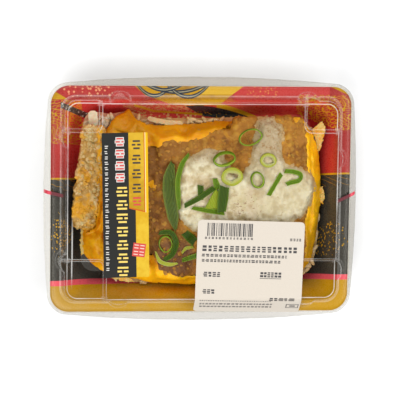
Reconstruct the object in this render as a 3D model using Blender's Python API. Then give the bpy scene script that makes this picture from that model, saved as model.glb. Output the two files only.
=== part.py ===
"""Katsudon in a take-away box: a sliced, breaded pork cutlet on an egg sheet and rice.

The food lies in a printed foam tray under a clear lid. Two paper labels are stuck on the lid, and a
clear shrink film runs round the rim. Lengths are in millimetres until a mesh is made, when MM turns
them into metres. +X is to the right and +Y to the back as the box lies, and the origin is the middle
of the base.
"""

import math
import random

import bmesh
import bpy
from mathutils import Matrix, Vector, noise

MM = 0.001
GAP = 0.4

# Tray
SIDE_DIFFERENCE = 23.0
BASE_HALF = 72.0
FOOT_WIDTH = 6.0
BASE_RECESS = 1.0
RIM_TOP = 36.0
RIM_HALF = 94.0
RIM_LIP = 3.0
OPENING_HALF = 87.0
FLOOR_HALF = 74.5
FLOOR_TOP = 2.8
TRAY_WALL = 1.5
TRAY_RADIUS = 11.5

# Lid
LID_WALL = 0.6
LID_HALF = 95.0
LID_RADIUS = 12.5
SKIRT_DEPTH = 5.0
FLANGE_TOP = RIM_TOP + 0.3 + LID_WALL
SHOULDER_BASE_HALF = 87.3
PANEL_HALF = 84.6
PANEL_TOP = 49.0
PANEL_RADIUS = 7.0
CORNER_STEP_BACK = (21.0, 17.5)
CORNER_STEP_FRONT = (24.0, 25.0)
CORNER_STEP_DEPTH = 4.5
BUTTRESS_HALF_WIDTH = 5.8
BUTTRESS_REACH = 3.6
BUTTRESSES_BACK = (66.0, -51.5)
BUTTRESSES_LEFT = (40.0, -38.0)
BUTTRESSES_FRONT = (-51.5, 66.0)
BUTTRESSES_RIGHT = (-44.0, 26.5)

# Film
FILM_WALL = 0.5
FILM_TOP_HALF = 91.6
FILM_STOP_SHARES = (-0.9, -0.67, -0.45, -0.22, 0.0, 0.22, 0.45, 0.67, 0.9)
FILM_BULGE_LONG = 4.2
FILM_BULGE_SHORT = 2.8
FILM_FOOT_HEIGHT = 5.0

# Labels
LABEL_WALL = 0.3
FRONT_LABEL_SIZE = (28.3, 90.0)
FRONT_LABEL_CENTRE = (-48.2, -1.8)
FRONT_LABEL_TURN = 1.3
PRICE_LABEL_SIZE = (67.0, 62.5)
PRICE_LABEL_TOP_CENTRE = (30.4, -11.6)
PRICE_LABEL_TURN = -1.6
PRICE_LABEL_BEND_RADIUS = 3.0
PRICE_LABEL_BEND_ANGLE = 47.0
PRICE_LABEL_CORNER = 2.5

# Rice: the outline of its top, which stops short of the tray's walls at the back and the left
RICE_OUTLINE = (
    (77.5, 0.0),
    (77.5, 20.0),
    (76.0, 34.0),
    (70.0, 45.0),
    (60.0, 49.5),
    (40.0, 50.5),
    (20.0, 50.0),
    (0.0, 49.5),
    (-20.0, 49.5),
    (-34.0, 50.0),
    (-44.0, 53.5),
    (-56.0, 52.0),
    (-64.0, 53.0),
    (-71.0, 51.0),
    (-73.5, 42.0),
    (-73.5, 25.0),
    (-74.5, 5.0),
    (-75.0, -12.0),
    (-73.5, -28.0),
    (-70.0, -38.0),
    (-62.0, -46.0),
    (-52.0, -53.0),
    (-40.0, -55.5),
    (-10.0, -55.5),
    (30.0, -55.5),
    (60.0, -54.0),
    (72.0, -47.0),
    (76.5, -35.0),
    (77.5, -18.0),
)
RICE_POINTS = 44
RICE_FOOT_SHARE = 0.9
RICE_EDGE_TOP = 17.0
RICE_CROWN = 4.5
GRAIN_LENGTH = 6.6
GRAIN_WIDTH = 2.9
GRAIN_TRIES = 4000
GRAIN_SPACING = 4.3
GRAIN_SEED = 7

# Egg sheet
EGG_COLLAR_TOP = 31.0
EGG_EDGE_THICKNESS = 1.8
EGG_EDGE_WIDTH = 1.2
EGG_CLEARANCE = 1.7
EGG_POINTS = 60
EGG_OUTLINE = (
    (78.2, 4.0),
    (77.6, 16.0),
    (75.6, 29.0),
    (71.0, 40.5),
    (62.0, 48.0),
    (49.0, 50.0),
    (36.0, 49.0),
    (22.0, 48.5),
    (5.0, 46.5),
    (-12.0, 45.5),
    (-30.0, 45.5),
    (-38.0, 46.5),
    (-45.5, 55.5),
    (-56.0, 46.0),
    (-62.0, 38.0),
    (-66.0, 26.0),
    (-69.0, 10.0),
    (-71.5, -8.0),
    (-73.5, -22.0),
    (-73.5, -32.0),
    (-70.0, -41.0),
    (-58.0, -48.0),
    (-44.0, -51.5),
    (-25.0, -54.5),
    (0.0, -55.5),
    (25.0, -55.0),
    (45.0, -54.5),
    (60.0, -52.0),
    (70.5, -43.0),
    (75.0, -28.0),
    (77.0, -12.0),
)

# Cutlet slices: centre x, centre y, width, length, turn in degrees, height of the top
SLICE_FLOOR = 24.4
SLICES = (
    (-70.0, 13.0, 16.4, 66.0, -5.5, 33.4),
    (-42.6, -1.0, 27.0, 70.0, 1.0, 35.6),
    (-16.6, -5.5, 23.4, 86.0, 1.0, 36.6),
    (7.6, -2.5, 23.6, 89.0, 1.0, 37.2),
    (31.6, 4.0, 23.2, 93.0, 1.0, 37.4),
    (54.8, 5.5, 22.2, 91.0, 1.0, 36.8),
)
SLICE_AROUND = 16
SLICE_ALONG = 13
SLICE_CUT_WANDER = 0.6
SLICE_END_WIDTH = 0.82
SLICE_END_HEIGHT = 0.45
CRAG_HEIGHT = 2.4
CRAG_SPACING = 6.0

# Soft white of egg that lies over the slices
WHITE_FLOOR = 38.4
WHITE_CENTRE = (28.0, 1.0)
WHITE_THICKNESS = 3.2
WHITE_OUTLINE = (
    (70.5, 5.0),
    (68.5, 13.5),
    (63.0, 19.5),
    (54.0, 23.0),
    (51.0, 33.0),
    (50.5, 46.0),
    (42.5, 52.0),
    (34.5, 49.5),
    (31.5, 38.0),
    (29.5, 25.0),
    (25.8, 17.8),
    (20.5, 18.8),
    (16.2, 25.0),
    (12.5, 31.5),
    (6.0, 33.5),
    (-1.5, 31.0),
    (-10.0, 25.0),
    (-15.0, 15.5),
    (-15.8, 3.5),
    (-13.5, -7.0),
    (-8.0, -16.0),
    (6.0, -24.0),
    (30.0, -25.5),
    (51.0, -19.5),
    (61.5, -10.5),
    (67.5, -3.0),
)

# Spring onion rings: centre x, centre y, half length, half width, wall, height, turn
ONION_RINGS = {
    "ring_thin": (29.7, 39.9, 7.6, 5.2, 1.1, 3.0, 18.0),
    "ring_rolled": (13.5, 26.4, 7.2, 4.8, 1.2, 2.8, 12.0),
    "ring_pale_large": (18.4, 15.4, 6.9, 5.9, 3.3, 2.4, 0.0),
    "ring_pale_small": (40.9, 25.6, 5.2, 4.6, 1.9, 2.4, 0.0),
    "ring_dark": (34.3, 13.4, 4.4, 5.4, 1.2, 3.0, 20.0),
    "ring_lower": (-22.2, -27.6, 4.4, 5.6, 1.0, 2.2, 10.0),
}

# Middle lines of the two spring onion strips that turn back on themselves
FOLDED_LINE = (
    (51.6, 18.8),
    (56.6, 18.4),
    (60.2, 17.4),
    (61.4, 15.2),
    (59.4, 13.2),
    (56.0, 12.0),
    (52.6, 10.8),
)
BENT_LINE = ((-26.4, -20.6), (-19.0, -20.6), (-15.6, -27.4), (-18.4, -34.4), (-23.0, -37.6))

# Spring onion strips: width, thickness, layer, and the points of the middle line
ONION_STRIPS = {
    "leaf_wide": (7.6, 1.0, 0, ((-19.6, 23.5), (-21.0, 13.0), (-20.2, 2.5), (-18.0, -8.5), (-16.2, -18.5))),
    "leaf_narrow": (3.0, 0.9, 1, ((-8.2, 29.0), (-12.8, 22.5), (-15.2, 13.0), (-15.0, 4.0), (-14.0, -5.5))),
    "strip_straight": (2.6, 1.1, 0, ((49.4, 17.2), (45.4, 10.4), (41.5, 3.6))),
    "strip_folded": (2.7, 1.1, 0, FOLDED_LINE),
    "strip_star_upright": (3.5, 0.8, 0, ((-1.2, 9.8), (-1.1, 5.2), (-0.9, 0.6))),
    "strip_star_slanting": (3.3, 0.8, 1, ((-11.2, -3.0), (-1.6, 2.4), (7.2, 8.4))),
    "strip_star_low": (3.4, 0.8, 0, ((-6.2, -4.3), (3.9, -6.0), (13.8, -7.4))),
    "strip_star_wide": (6.0, 0.8, 2, ((13.3, 9.2), (12.7, 2.0), (11.8, -6.6))),
    "strip_star_tip": (3.4, 0.8, 0, ((7.6, 14.2), (8.6, 10.8), (9.6, 7.4))),
    "strip_bent": (3.2, 0.9, 1, BENT_LINE),
    "strip_pale": (2.4, 0.8, 0, ((-28.4, -32.4), (-25.8, -38.4), (-20.0, -40.6), (-14.4, -40.0))),
    "strip_wedge": (5.6, 0.8, 0, ((-10.4, -20.6), (-7.0, -23.6), (-4.0, -26.6))),
    "strip_low": (3.0, 0.8, 0, ((-11.6, -38.2), (-6.6, -36.6), (-1.4, -34.4))),
    "strip_arc": (2.0, 0.8, 0, ((-11.8, -33.8), (-9.2, -30.6), (-4.6, -29.6))),
}

# Cooked onion slices that show at the back edge: same fields as the strips, then the height
ONION_SLICES = {
    "cooked_onion_corner": (5.8, 1.6, 22.0, ((-67.6, 54.4), (-67.2, 48.0), (-66.8, 41.6))),
    "cooked_onion_back": (3.0, 1.4, 22.2, ((-33.0, 50.0), (-27.0, 48.4), (-20.0, 47.2), (-11.0, 46.8))),
}

# Colours of the materials, with roughness
TRAY_RED = (0.47, 0.035, 0.045)
CLEAR = (0.92, 0.94, 0.94)
PAPER = (0.88, 0.83, 0.76)
LABEL_BLACK = (0.03, 0.03, 0.03)
RICE = (0.76, 0.64, 0.42)
YOLK = (0.85, 0.40, 0.02)
CRUST = (0.42, 0.20, 0.06)
EGG_WHITE = (0.76, 0.73, 0.58)
ONION_GREEN = (0.07, 0.19, 0.02)
ONION_PALE = (0.52, 0.60, 0.12)
ONION_COOKED = (0.72, 0.60, 0.38)


def clear_scene():
    for obj in list(bpy.data.objects):
        bpy.data.objects.remove(obj)


def make_material(name, colour, roughness, alpha=1.0):
    material = bpy.data.materials.new(name)
    material.use_nodes = True
    shader = material.node_tree.nodes["Principled BSDF"]
    shader.inputs["Base Color"].default_value = (*colour, 1.0)
    shader.inputs["Roughness"].default_value = roughness
    shader.inputs["Metallic"].default_value = 0.0
    shader.inputs["Alpha"].default_value = alpha
    return material


def add_object(name, bm, material, smooth_angle=None):
    """Makes a named object from a bmesh in millimetres, with its faces pointing out."""
    bmesh.ops.recalc_face_normals(bm, faces=bm.faces)
    bmesh.ops.scale(bm, vec=(MM, MM, MM), verts=bm.verts)
    mesh = bpy.data.meshes.new(name)
    bm.to_mesh(mesh)
    bm.free()
    mesh.materials.append(material)
    if smooth_angle is not None:
        mesh.shade_smooth()
        mesh.set_sharp_from_angle(angle=math.radians(smooth_angle))
    obj = bpy.data.objects.new(name, mesh)
    bpy.context.scene.collection.objects.link(obj)
    return obj


def make_helper(obj):
    """Marks a cutter, which shapes other objects and isn't a piece itself."""
    obj.hide_render = True
    obj.display_type = "WIRE"
    return obj


def add_boolean(obj, other, operation):
    modifier = obj.modifiers.new(operation.lower(), "BOOLEAN")
    modifier.operation = operation
    modifier.solver = "EXACT"
    modifier.object = other


def loft(rings, closed_profile=False):
    """Joins rings of equal length into a surface, capped at its ends or closed back on itself."""
    bm = bmesh.new()
    loops = [[bm.verts.new(point) for point in ring] for ring in rings]
    pairs = list(zip(loops, loops[1:]))
    if closed_profile:
        pairs.append((loops[-1], loops[0]))
    for low, high in pairs:
        for i in range(len(low)):
            j = (i + 1) % len(low)
            bm.faces.new((low[i], low[j], high[j], high[i]))
    if not closed_profile:
        bm.faces.new(reversed(loops[0]))
        bm.faces.new(loops[-1])
    return bm


def rounded_outline(half_x, half_y, radius, per_corner=6, long_stops=(), short_stops=()):
    """Points round a rounded rectangle, counter-clockwise from the middle of its right side.

    The stops are extra points on the straight sides, the same on opposite sides.
    """
    points = []
    sides = (
        [(half_x, y) for y in sorted(short_stops)],
        [(x, half_y) for x in sorted(long_stops, reverse=True)],
        [(-half_x, y) for y in sorted(short_stops, reverse=True)],
        [(x, -half_y) for x in sorted(long_stops)],
    )
    centres = (
        (half_x - radius, half_y - radius),
        (radius - half_x, half_y - radius),
        (radius - half_x, radius - half_y),
        (half_x - radius, radius - half_y),
    )
    for quarter, (side, (cx, cy)) in enumerate(zip(sides, centres)):
        points += side
        for k in range(per_corner):
            angle = math.radians(90 * quarter + 90 * k / (per_corner - 1))
            points.append((cx + radius * math.cos(angle), cy + radius * math.sin(angle)))
    return points


def box_ring(half, z, radius, **stops):
    """A ring of the box: half is half its long side, and the short side is SIDE_DIFFERENCE less."""
    outline = rounded_outline(half, half - SIDE_DIFFERENCE, radius, **stops)
    return [(x, y, z) for x, y in outline]


def spline_through(control, count):
    """Points at even steps along a smooth closed curve through the control points."""
    dense = []
    steps = 12
    n = len(control)
    for i in range(n):
        p0, p1, p2, p3 = (Vector(control[(i + k) % n]) for k in (-1, 0, 1, 2))
        for s in range(steps):
            t = s / steps
            dense.append(
                0.5
                * (
                    2 * p1
                    + (p2 - p0) * t
                    + (2 * p0 - 5 * p1 + 4 * p2 - p3) * t * t
                    + (3 * p1 - p0 - 3 * p2 + p3) * t**3
                )
            )
    lengths = [0.0]
    for a, b in zip(dense, dense[1:] + dense[:1]):
        lengths.append(lengths[-1] + (b - a).length)
    points = []
    at = 0
    for k in range(count):
        target = lengths[-1] * k / count
        while lengths[at + 1] < target:
            at += 1
        share = (target - lengths[at]) / max(lengths[at + 1] - lengths[at], 1e-9)
        points.append(dense[at].lerp(dense[(at + 1) % len(dense)], share))
    return points


def open_spline(control, count):
    """Points along a smooth open curve through the control points."""
    padded = [control[0], *control, control[-1]]
    points = []
    spans = len(control) - 1
    for k in range(count):
        place = spans * k / (count - 1)
        i = min(int(place), spans - 1)
        t = place - i
        p0, p1, p2, p3 = (Vector(point) for point in padded[i : i + 4])
        points.append(
            0.5
            * (
                2 * p1
                + (p2 - p0) * t
                + (2 * p0 - 5 * p1 + 4 * p2 - p3) * t * t
                + (3 * p1 - p0 - 3 * p2 + p3) * t**3
            )
        )
    return points


def ripple(x, y, spacing, seed):
    """Smooth unevenness from -1 to 1, with lumps about spacing apart."""
    return noise.noise(Vector((x / spacing, y / spacing, seed)))


def make_tray(material):
    """The pressed foam tray: a foot, sloping walls, and a flat rim with a turned-down lip."""
    profile = (
        (BASE_HALF - FOOT_WIDTH - 1.5, BASE_RECESS, TRAY_RADIUS - 6.5),
        (BASE_HALF - FOOT_WIDTH, 0.0, TRAY_RADIUS - 5.5),
        (BASE_HALF, 0.0, TRAY_RADIUS - 3.5),
        (BASE_HALF + 3.5, 1.6, TRAY_RADIUS - 1.0),
        (OPENING_HALF + TRAY_WALL - 0.4, RIM_TOP - TRAY_WALL - 0.6, TRAY_RADIUS),
        (OPENING_HALF + TRAY_WALL + 0.8, RIM_TOP - TRAY_WALL, TRAY_RADIUS),
        (RIM_HALF - TRAY_WALL, RIM_TOP - TRAY_WALL, TRAY_RADIUS),
        (RIM_HALF - TRAY_WALL + 0.3, RIM_TOP - RIM_LIP, TRAY_RADIUS),
        (RIM_HALF, RIM_TOP - RIM_LIP, TRAY_RADIUS),
        (RIM_HALF, RIM_TOP - 0.7, TRAY_RADIUS),
        (RIM_HALF - 0.7, RIM_TOP, TRAY_RADIUS),
        (OPENING_HALF + 0.8, RIM_TOP, TRAY_RADIUS - 1.0),
        (OPENING_HALF - 0.4, RIM_TOP - 1.0, TRAY_RADIUS - 1.5),
        (FLOOR_HALF + 1.6, FLOOR_TOP + 3.2, TRAY_RADIUS - 1.5),
        (FLOOR_HALF - 1.0, FLOOR_TOP, TRAY_RADIUS - 3.0),
    )
    rings = [box_ring(half, z, radius) for half, z, radius in profile]
    return add_object("tray", loft(rings), material, smooth_angle=30)


def buttress_stops(places):
    """Stops across each half-round buttress on a side, close enough to draw its curve."""
    shares = (-1.0, -0.8, 0.0, 0.8, 1.0)
    return [place + share * BUTTRESS_HALF_WIDTH for place in places for share in shares]


LONG_STOPS = buttress_stops(sorted(BUTTRESSES_BACK))
SHORT_STOPS = buttress_stops(sorted(set(BUTTRESSES_LEFT + BUTTRESSES_RIGHT)))


def buttress_reach(x, y, half):
    """How far the buttresses push the lid's shoulder out at a point of its outline."""
    if abs(y) > half - SIDE_DIFFERENCE - 0.01:
        along, places = x, BUTTRESSES_BACK if y > 0 else BUTTRESSES_FRONT
    elif abs(x) > half - 0.01:
        along, places = y, BUTTRESSES_RIGHT if x > 0 else BUTTRESSES_LEFT
    else:
        return 0.0
    nearest = min(abs(along - place) for place in places) / BUTTRESS_HALF_WIDTH
    return math.sqrt(max(0.0, 1.0 - nearest * nearest))


def shoulder_ring(half, z, radius, reach):
    """A ring of the lid's shoulder, pushed out at the buttresses by up to reach."""
    ring = box_ring(half, z, radius, long_stops=LONG_STOPS, short_stops=SHORT_STOPS)
    pushed = []
    for x, y, z in ring:
        out = reach * buttress_reach(x, y, half)
        if abs(y) > half - SIDE_DIFFERENCE - 0.01:
            y += math.copysign(out, y)
        else:
            x += math.copysign(out, x) if out else 0.0
        pushed.append((x, y, z))
    return pushed


def lid_form(name, inset, material):
    """The lid as a solid form. With an inset it is the hollow under the lid instead."""
    skirt_foot = FLANGE_TOP - SKIRT_DEPTH - (1.0 if inset else 0.0)
    rings = [
        shoulder_ring(LID_HALF - inset, skirt_foot, LID_RADIUS - inset, 0.0),
        shoulder_ring(LID_HALF - inset, FLANGE_TOP - 0.6 - inset / 2, LID_RADIUS - inset, 0.0),
        shoulder_ring(LID_HALF - 0.6 - inset, FLANGE_TOP - inset, LID_RADIUS - inset, 0.0),
        shoulder_ring(SHOULDER_BASE_HALF - inset, FLANGE_TOP - inset, 9.0, BUTTRESS_REACH),
        shoulder_ring(PANEL_HALF + 0.4 - inset, PANEL_TOP - 1.0 - inset, PANEL_RADIUS, BUTTRESS_REACH * 0.6),
        shoulder_ring(PANEL_HALF - 0.6 - inset, PANEL_TOP - inset, PANEL_RADIUS, BUTTRESS_REACH * 0.45),
    ]
    form = add_object(name, loft(rings), material, smooth_angle=35)
    cutters = bmesh.new()
    half_y = PANEL_HALF - SIDE_DIFFERENCE
    far = (PANEL_HALF + 15.0, half_y + 15.0)
    floor = PANEL_TOP - CORNER_STEP_DEPTH - inset
    for side_x in (-1, 1):
        for side_y in (-1, 1):
            step = CORNER_STEP_BACK if side_y > 0 else CORNER_STEP_FRONT
            near = (PANEL_HALF - step[0] - inset, half_y - step[1] - inset)
            outline = rounded_outline(
                (far[0] - near[0]) / 2, (far[1] - near[1]) / 2, 3.0, per_corner=4
            )
            middle = (side_x * (far[0] + near[0]) / 2, side_y * (far[1] + near[1]) / 2)
            walls = [
                cutters.faces.new([cutters.verts.new((x + middle[0], y + middle[1], z)) for x, y in outline])
                for z in (floor, PANEL_TOP + 10.0)
            ]
            bmesh.ops.bridge_loops(cutters, edges=[e for wall in walls for e in wall.edges])
    corner_cutters = add_object(name + "_corners", cutters, material)
    add_boolean(form, make_helper(corner_cutters), "DIFFERENCE")
    return form


def make_lid(material):
    """The clear lid: a skirt over the tray's rim, a flange, and a raised panel with stepped corners."""
    lid = lid_form("lid", 0.0, material)
    hollow = make_helper(lid_form("lid_hollow", LID_WALL, material))
    add_boolean(lid, hollow, "DIFFERENCE")
    return lid


def film_bulge(x, y, half):
    """How far the loose film stands off between the corners, most at the middle of each side."""
    half_y = half - SIDE_DIFFERENCE
    if abs(y) > half_y - 0.01:
        return 0.0, math.copysign(FILM_BULGE_LONG * max(0.0, 1 - (x / (half - 12.0)) ** 2), y)
    if abs(x) > half - 0.01:
        return math.copysign(FILM_BULGE_SHORT * max(0.0, 1 - (y / (half_y - 12.0)) ** 2), x), 0.0
    return 0.0, 0.0


def make_film(material):
    """The shrink film: a thin band from the lid's flange, over its edge, to the foot of the tray.

    A row holds half the long side, the height, the corner radius, the share of the bulge, and
    which way the film's thickness goes: outwards and up.
    """
    profile = (
        (FILM_TOP_HALF, FLANGE_TOP + GAP, 9.0, 0.0, 0.0, 1.0),
        (LID_HALF - 0.8, FLANGE_TOP + GAP, LID_RADIUS, 0.3, 0.4, 1.0),
        (LID_HALF + 0.5, FLANGE_TOP - 0.6, LID_RADIUS, 0.8, 1.0, 0.4),
        (LID_HALF + 0.6, FLANGE_TOP - SKIRT_DEPTH - 1.0, LID_RADIUS, 1.0, 1.0, -0.2),
        (LID_HALF - 7.0, 20.0, LID_RADIUS, 0.6, 0.8, -0.6),
        (BASE_HALF + 5.8, FILM_FOOT_HEIGHT, LID_RADIUS - 1.5, 0.1, 0.8, -0.6),
    )

    def film_ring(half, z, radius, bulge, out, up):
        flat = half - radius
        long_stops = [share * flat for share in FILM_STOP_SHARES]
        short_stops = [share * (flat - SIDE_DIFFERENCE) for share in FILM_STOP_SHARES[::2]]
        ring = box_ring(half + out, z + up, radius + out, long_stops=long_stops, short_stops=short_stops)
        points = []
        for x, y, height in ring:
            push_x, push_y = film_bulge(x, y, half + out)
            points.append((x + bulge * push_x, y + bulge * push_y, height))
        return points

    inner = [film_ring(*row[:4], 0.0, 0.0) for row in profile]
    outer = [film_ring(*row[:4], FILM_WALL * row[4], FILM_WALL * row[5]) for row in profile]
    return add_object("film", loft(inner + outer[::-1], closed_profile=True), material, smooth_angle=40)


def make_front_label(material):
    """The long upright label, flat on the lid's panel."""
    outline = rounded_outline(FRONT_LABEL_SIZE[0] / 2, FRONT_LABEL_SIZE[1] / 2, 0.6, per_corner=3)
    turn = Matrix.Rotation(math.radians(FRONT_LABEL_TURN), 3, "Z")
    shift = Vector((*FRONT_LABEL_CENTRE, PANEL_TOP + GAP))
    rings = [
        [turn @ Vector((x, y, z)) + shift for x, y in outline] for z in (0.0, LABEL_WALL)
    ]
    return add_object("label_front", loft(rings), material)


def price_label_point(across, along, lift):
    """A point of the price label, which runs flat and then bends down over the lid's front edge."""
    turn = math.radians(PRICE_LABEL_TURN)
    x = PRICE_LABEL_TOP_CENTRE[0] + across * math.cos(turn) + along * math.sin(turn)
    run = along * math.cos(turn) - across * math.sin(turn)
    flat = PRICE_LABEL_TOP_CENTRE[1] + (PANEL_HALF - SIDE_DIFFERENCE) - 1.4
    floor = PANEL_TOP + GAP
    radius = PRICE_LABEL_BEND_RADIUS
    if run <= flat:
        return Vector((x, PRICE_LABEL_TOP_CENTRE[1] - run, floor + lift))
    most = math.radians(PRICE_LABEL_BEND_ANGLE)
    angle = min((run - flat) / radius, most)
    straight = run - flat - angle * radius
    y = PRICE_LABEL_TOP_CENTRE[1] - flat
    y -= (radius + lift) * math.sin(angle) + straight * math.cos(angle)
    z = floor - radius + (radius + lift) * math.cos(angle) - straight * math.sin(angle)
    return Vector((x, y, z))


def make_price_label(material):
    """The price label: paper with round corners, draped over the edge of the panel."""
    width, length = PRICE_LABEL_SIZE
    corner = PRICE_LABEL_CORNER
    rows = [0.0, 0.25, 0.8, 1.6, corner, 25.0, 46.0]
    rows += [47.5 + 0.8 * k for k in range(7)]
    rows += [57.0, length - corner, length - 1.4, length - 0.7, length - 0.2, length]
    columns = (-1.0, -0.6, -0.2, 0.2, 0.6, 1.0)
    top, bottom = [], []
    for along in rows:
        from_end = min(along, length - along, corner)
        half = width / 2 - corner + math.sqrt(corner**2 - (corner - from_end) ** 2)
        top.append([price_label_point(c * half, along, LABEL_WALL) for c in columns])
        bottom.append([price_label_point(c * half, along, 0.0) for c in columns])
    rings = [upper + lower[::-1] for upper, lower in zip(top, bottom)]
    return add_object("label_price", loft(rings), material, smooth_angle=40)


def rice_top(x, y):
    """Height of the bare bed of rice, highest in the middle."""
    across = max(abs(x) / 80.0, abs(y) / 57.0)
    rise = RICE_CROWN * (1 - min(1.0, across) ** 4)
    return RICE_EDGE_TOP + rise + 0.35 * ripple(x, y, 9.0, 3.3)


def make_rice(material):
    """The rice: a bed that fills the tray's foot, with single grains fused on where it shows."""
    outline = spline_through(RICE_OUTLINE, RICE_POINTS)
    rings = [
        [(p.x * share, p.y * share, z) for p in outline]
        for share, z in ((RICE_FOOT_SHARE, FLOOR_TOP + GAP), (RICE_FOOT_SHARE + 0.04, 7.0))
    ]
    for share in (1.0, 0.97, 0.88, 0.72, 0.5, 0.25):
        drop = 1.6 if share == 1.0 else 0.0
        rings.append([(p.x * share, p.y * share, rice_top(p.x * share, p.y * share) - drop) for p in outline])
    bm = loft(rings)
    bmesh.ops.triangulate(bm, faces=bm.faces)
    bed = add_object("rice", bm, material, smooth_angle=50)
    grains = bpy.data.collections.new("grains")
    draw = random.Random(GRAIN_SEED)
    for number, (place, turn) in enumerate(grain_places(draw), start=1):
        grains.objects.link(make_grain(number, place, turn, draw, material))
    modifier = bed.modifiers.new("fuse", "BOOLEAN")
    modifier.operation = "UNION"
    modifier.operand_type = "COLLECTION"
    modifier.collection = grains
    modifier.solver = "EXACT"
    bpy.context.view_layer.update()
    graph = bpy.context.evaluated_depsgraph_get()
    fused = bpy.data.meshes.new_from_object(bed.evaluated_get(graph))
    bed.modifiers.clear()
    bed.data = fused
    for grain in list(grains.objects):
        bpy.data.objects.remove(grain)
    return bed


def grain_places(draw):
    """Places and turns for the grains that show: between the egg's edge and the rice's edge."""
    egg_edge = spline_through(EGG_OUTLINE, 160)
    rice_edge = spline_through(RICE_OUTLINE, 160)
    half = GRAIN_LENGTH / 2
    places = []
    for _ in range(GRAIN_TRIES):
        centre = Vector((draw.uniform(-FLOOR_HALF, FLOOR_HALF), draw.uniform(-FLOOR_HALF, FLOOR_HALF)))
        turn = draw.uniform(0, math.pi)
        along = Vector((math.cos(turn), math.sin(turn))) * half
        tips = (centre - along, centre, centre + along)
        if any(inset_of(rice_edge, tip) < GRAIN_WIDTH * 0.3 for tip in tips):
            continue
        if any(inset_of(egg_edge, tip) > -GRAIN_WIDTH * 0.6 for tip in tips):
            continue
        if any((centre - other).length < GRAIN_SPACING for other, _ in places):
            continue
        places.append((centre, turn))
    return places


def inset_of(outline, point):
    """How far a point is inside a closed outline; less than nothing when outside."""
    inside = False
    nearest = 1e9
    for a, b in zip(outline, outline[1:] + outline[:1]):
        if (a[1] > point[1]) != (b[1] > point[1]):
            crossing = (b[0] - a[0]) * (point[1] - a[1]) / (b[1] - a[1]) + a[0]
            inside = inside != (point[0] < crossing)
        dx, dy = b[0] - a[0], b[1] - a[1]
        share = ((point[0] - a[0]) * dx + (point[1] - a[1]) * dy) / (dx * dx + dy * dy)
        share = max(0.0, min(1.0, share))
        nearest = min(nearest, math.dist(point, (a[0] + share * dx, a[1] + share * dy)))
    return nearest if inside else -nearest


def make_grain(number, place, turn, draw, material):
    """One grain of rice, half sunk in the bed."""
    bm = bmesh.new()
    bmesh.ops.create_uvsphere(bm, u_segments=6, v_segments=4, radius=0.5)
    bmesh.ops.rotate(bm, matrix=Matrix.Rotation(math.pi / 2, 3, "Y"), verts=bm.verts)
    width = GRAIN_WIDTH * draw.uniform(0.9, 1.1)
    bmesh.ops.scale(bm, vec=(GRAIN_LENGTH * draw.uniform(0.85, 1.0), width, width * 0.9), verts=bm.verts)
    tilt = Matrix.Rotation(math.radians(draw.uniform(-14, 14)), 3, "Y")
    bmesh.ops.rotate(bm, matrix=Matrix.Rotation(turn, 3, "Z") @ tilt, verts=bm.verts)
    bmesh.ops.translate(bm, vec=(place.x, place.y, rice_top(place.x, place.y) + 0.25), verts=bm.verts)
    return add_object(f"grain_{number}", bm, material)


def slice_reach(direction):
    """How far the block of slices reaches from the origin in a direction."""
    most = 0.0
    for cx, cy, width, length, turn, _ in SLICES:
        back = Matrix.Rotation(-math.radians(turn), 2)
        along = back @ direction
        centre = back @ Vector((cx, cy))
        steps = [s * 0.5 for s in range(240)]
        inside = [
            s
            for s in steps
            if abs(along.x * s - centre.x) < width / 2
            and abs(along.y * s - centre.y) < length / 2
        ]
        most = max([most, *inside])
    return most


def egg_floor(x, y):
    return rice_top(x, y) + GAP + 0.5


def make_egg(material):
    """The egg: a cooked sheet over the rice that rises to a thick collar round the slices."""
    outline = spline_through(EGG_OUTLINE, EGG_POINTS)
    reach = [slice_reach(p.normalized()) + EGG_CLEARANCE for p in outline]
    reach = [max(reach[i - 1], reach[i], reach[(i + 1) % len(reach)]) for i in range(len(reach))]
    collar = []
    for p, r in zip(outline, reach):
        collar.append(p.normalized() * min(r, p.length - EGG_EDGE_WIDTH))

    def under(points, shift=0.0):
        return [(p.x, p.y, egg_floor(p.x, p.y) + shift) for p in points]

    def shrunk(points, share):
        return [p * share for p in points]

    def between(share):
        return [a.lerp(b, share) for a, b in zip(collar, outline)]

    def collar_height(share):
        heights = []
        for a, b in zip(collar, outline):
            room = min(1.0, (b - a).length / 9.0)
            p = a.lerp(b, share)
            low = egg_floor(p.x, p.y) + EGG_EDGE_THICKNESS
            high = low + (EGG_COLLAR_TOP - low) * room
            fall = (1 - share) ** 1.3
            wave = 0.5 * ripple(p.x, p.y, 8.0, 1.7) * (1 - fall)
            heights.append((p.x, p.y, low + (high - low) * fall + wave))
        return heights

    sheet_top = SLICE_FLOOR - GAP - 0.2
    rings = [under(shrunk(outline, share)) for share in (0.3, 0.62, 0.9)]
    rings.append([(p.x, p.y, egg_floor(p.x, p.y) + 0.3) for p in outline])
    rings += [collar_height(share) for share in (0.96, 0.66, 0.3, 0.0)]
    rings.append([(p.x * 0.985, p.y * 0.985, sheet_top) for p in collar])
    rings += [[(p.x * share, p.y * share, sheet_top) for p in collar] for share in (0.6, 0.3)]
    return add_object("egg_sheet", loft(rings), material, smooth_angle=50)


def cut_wander(y, cut):
    """How far the knife's cut beside a slice strays from a straight line."""
    return SLICE_CUT_WANDER * math.sin(y / 11.0 + 2.1 * cut)


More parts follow.
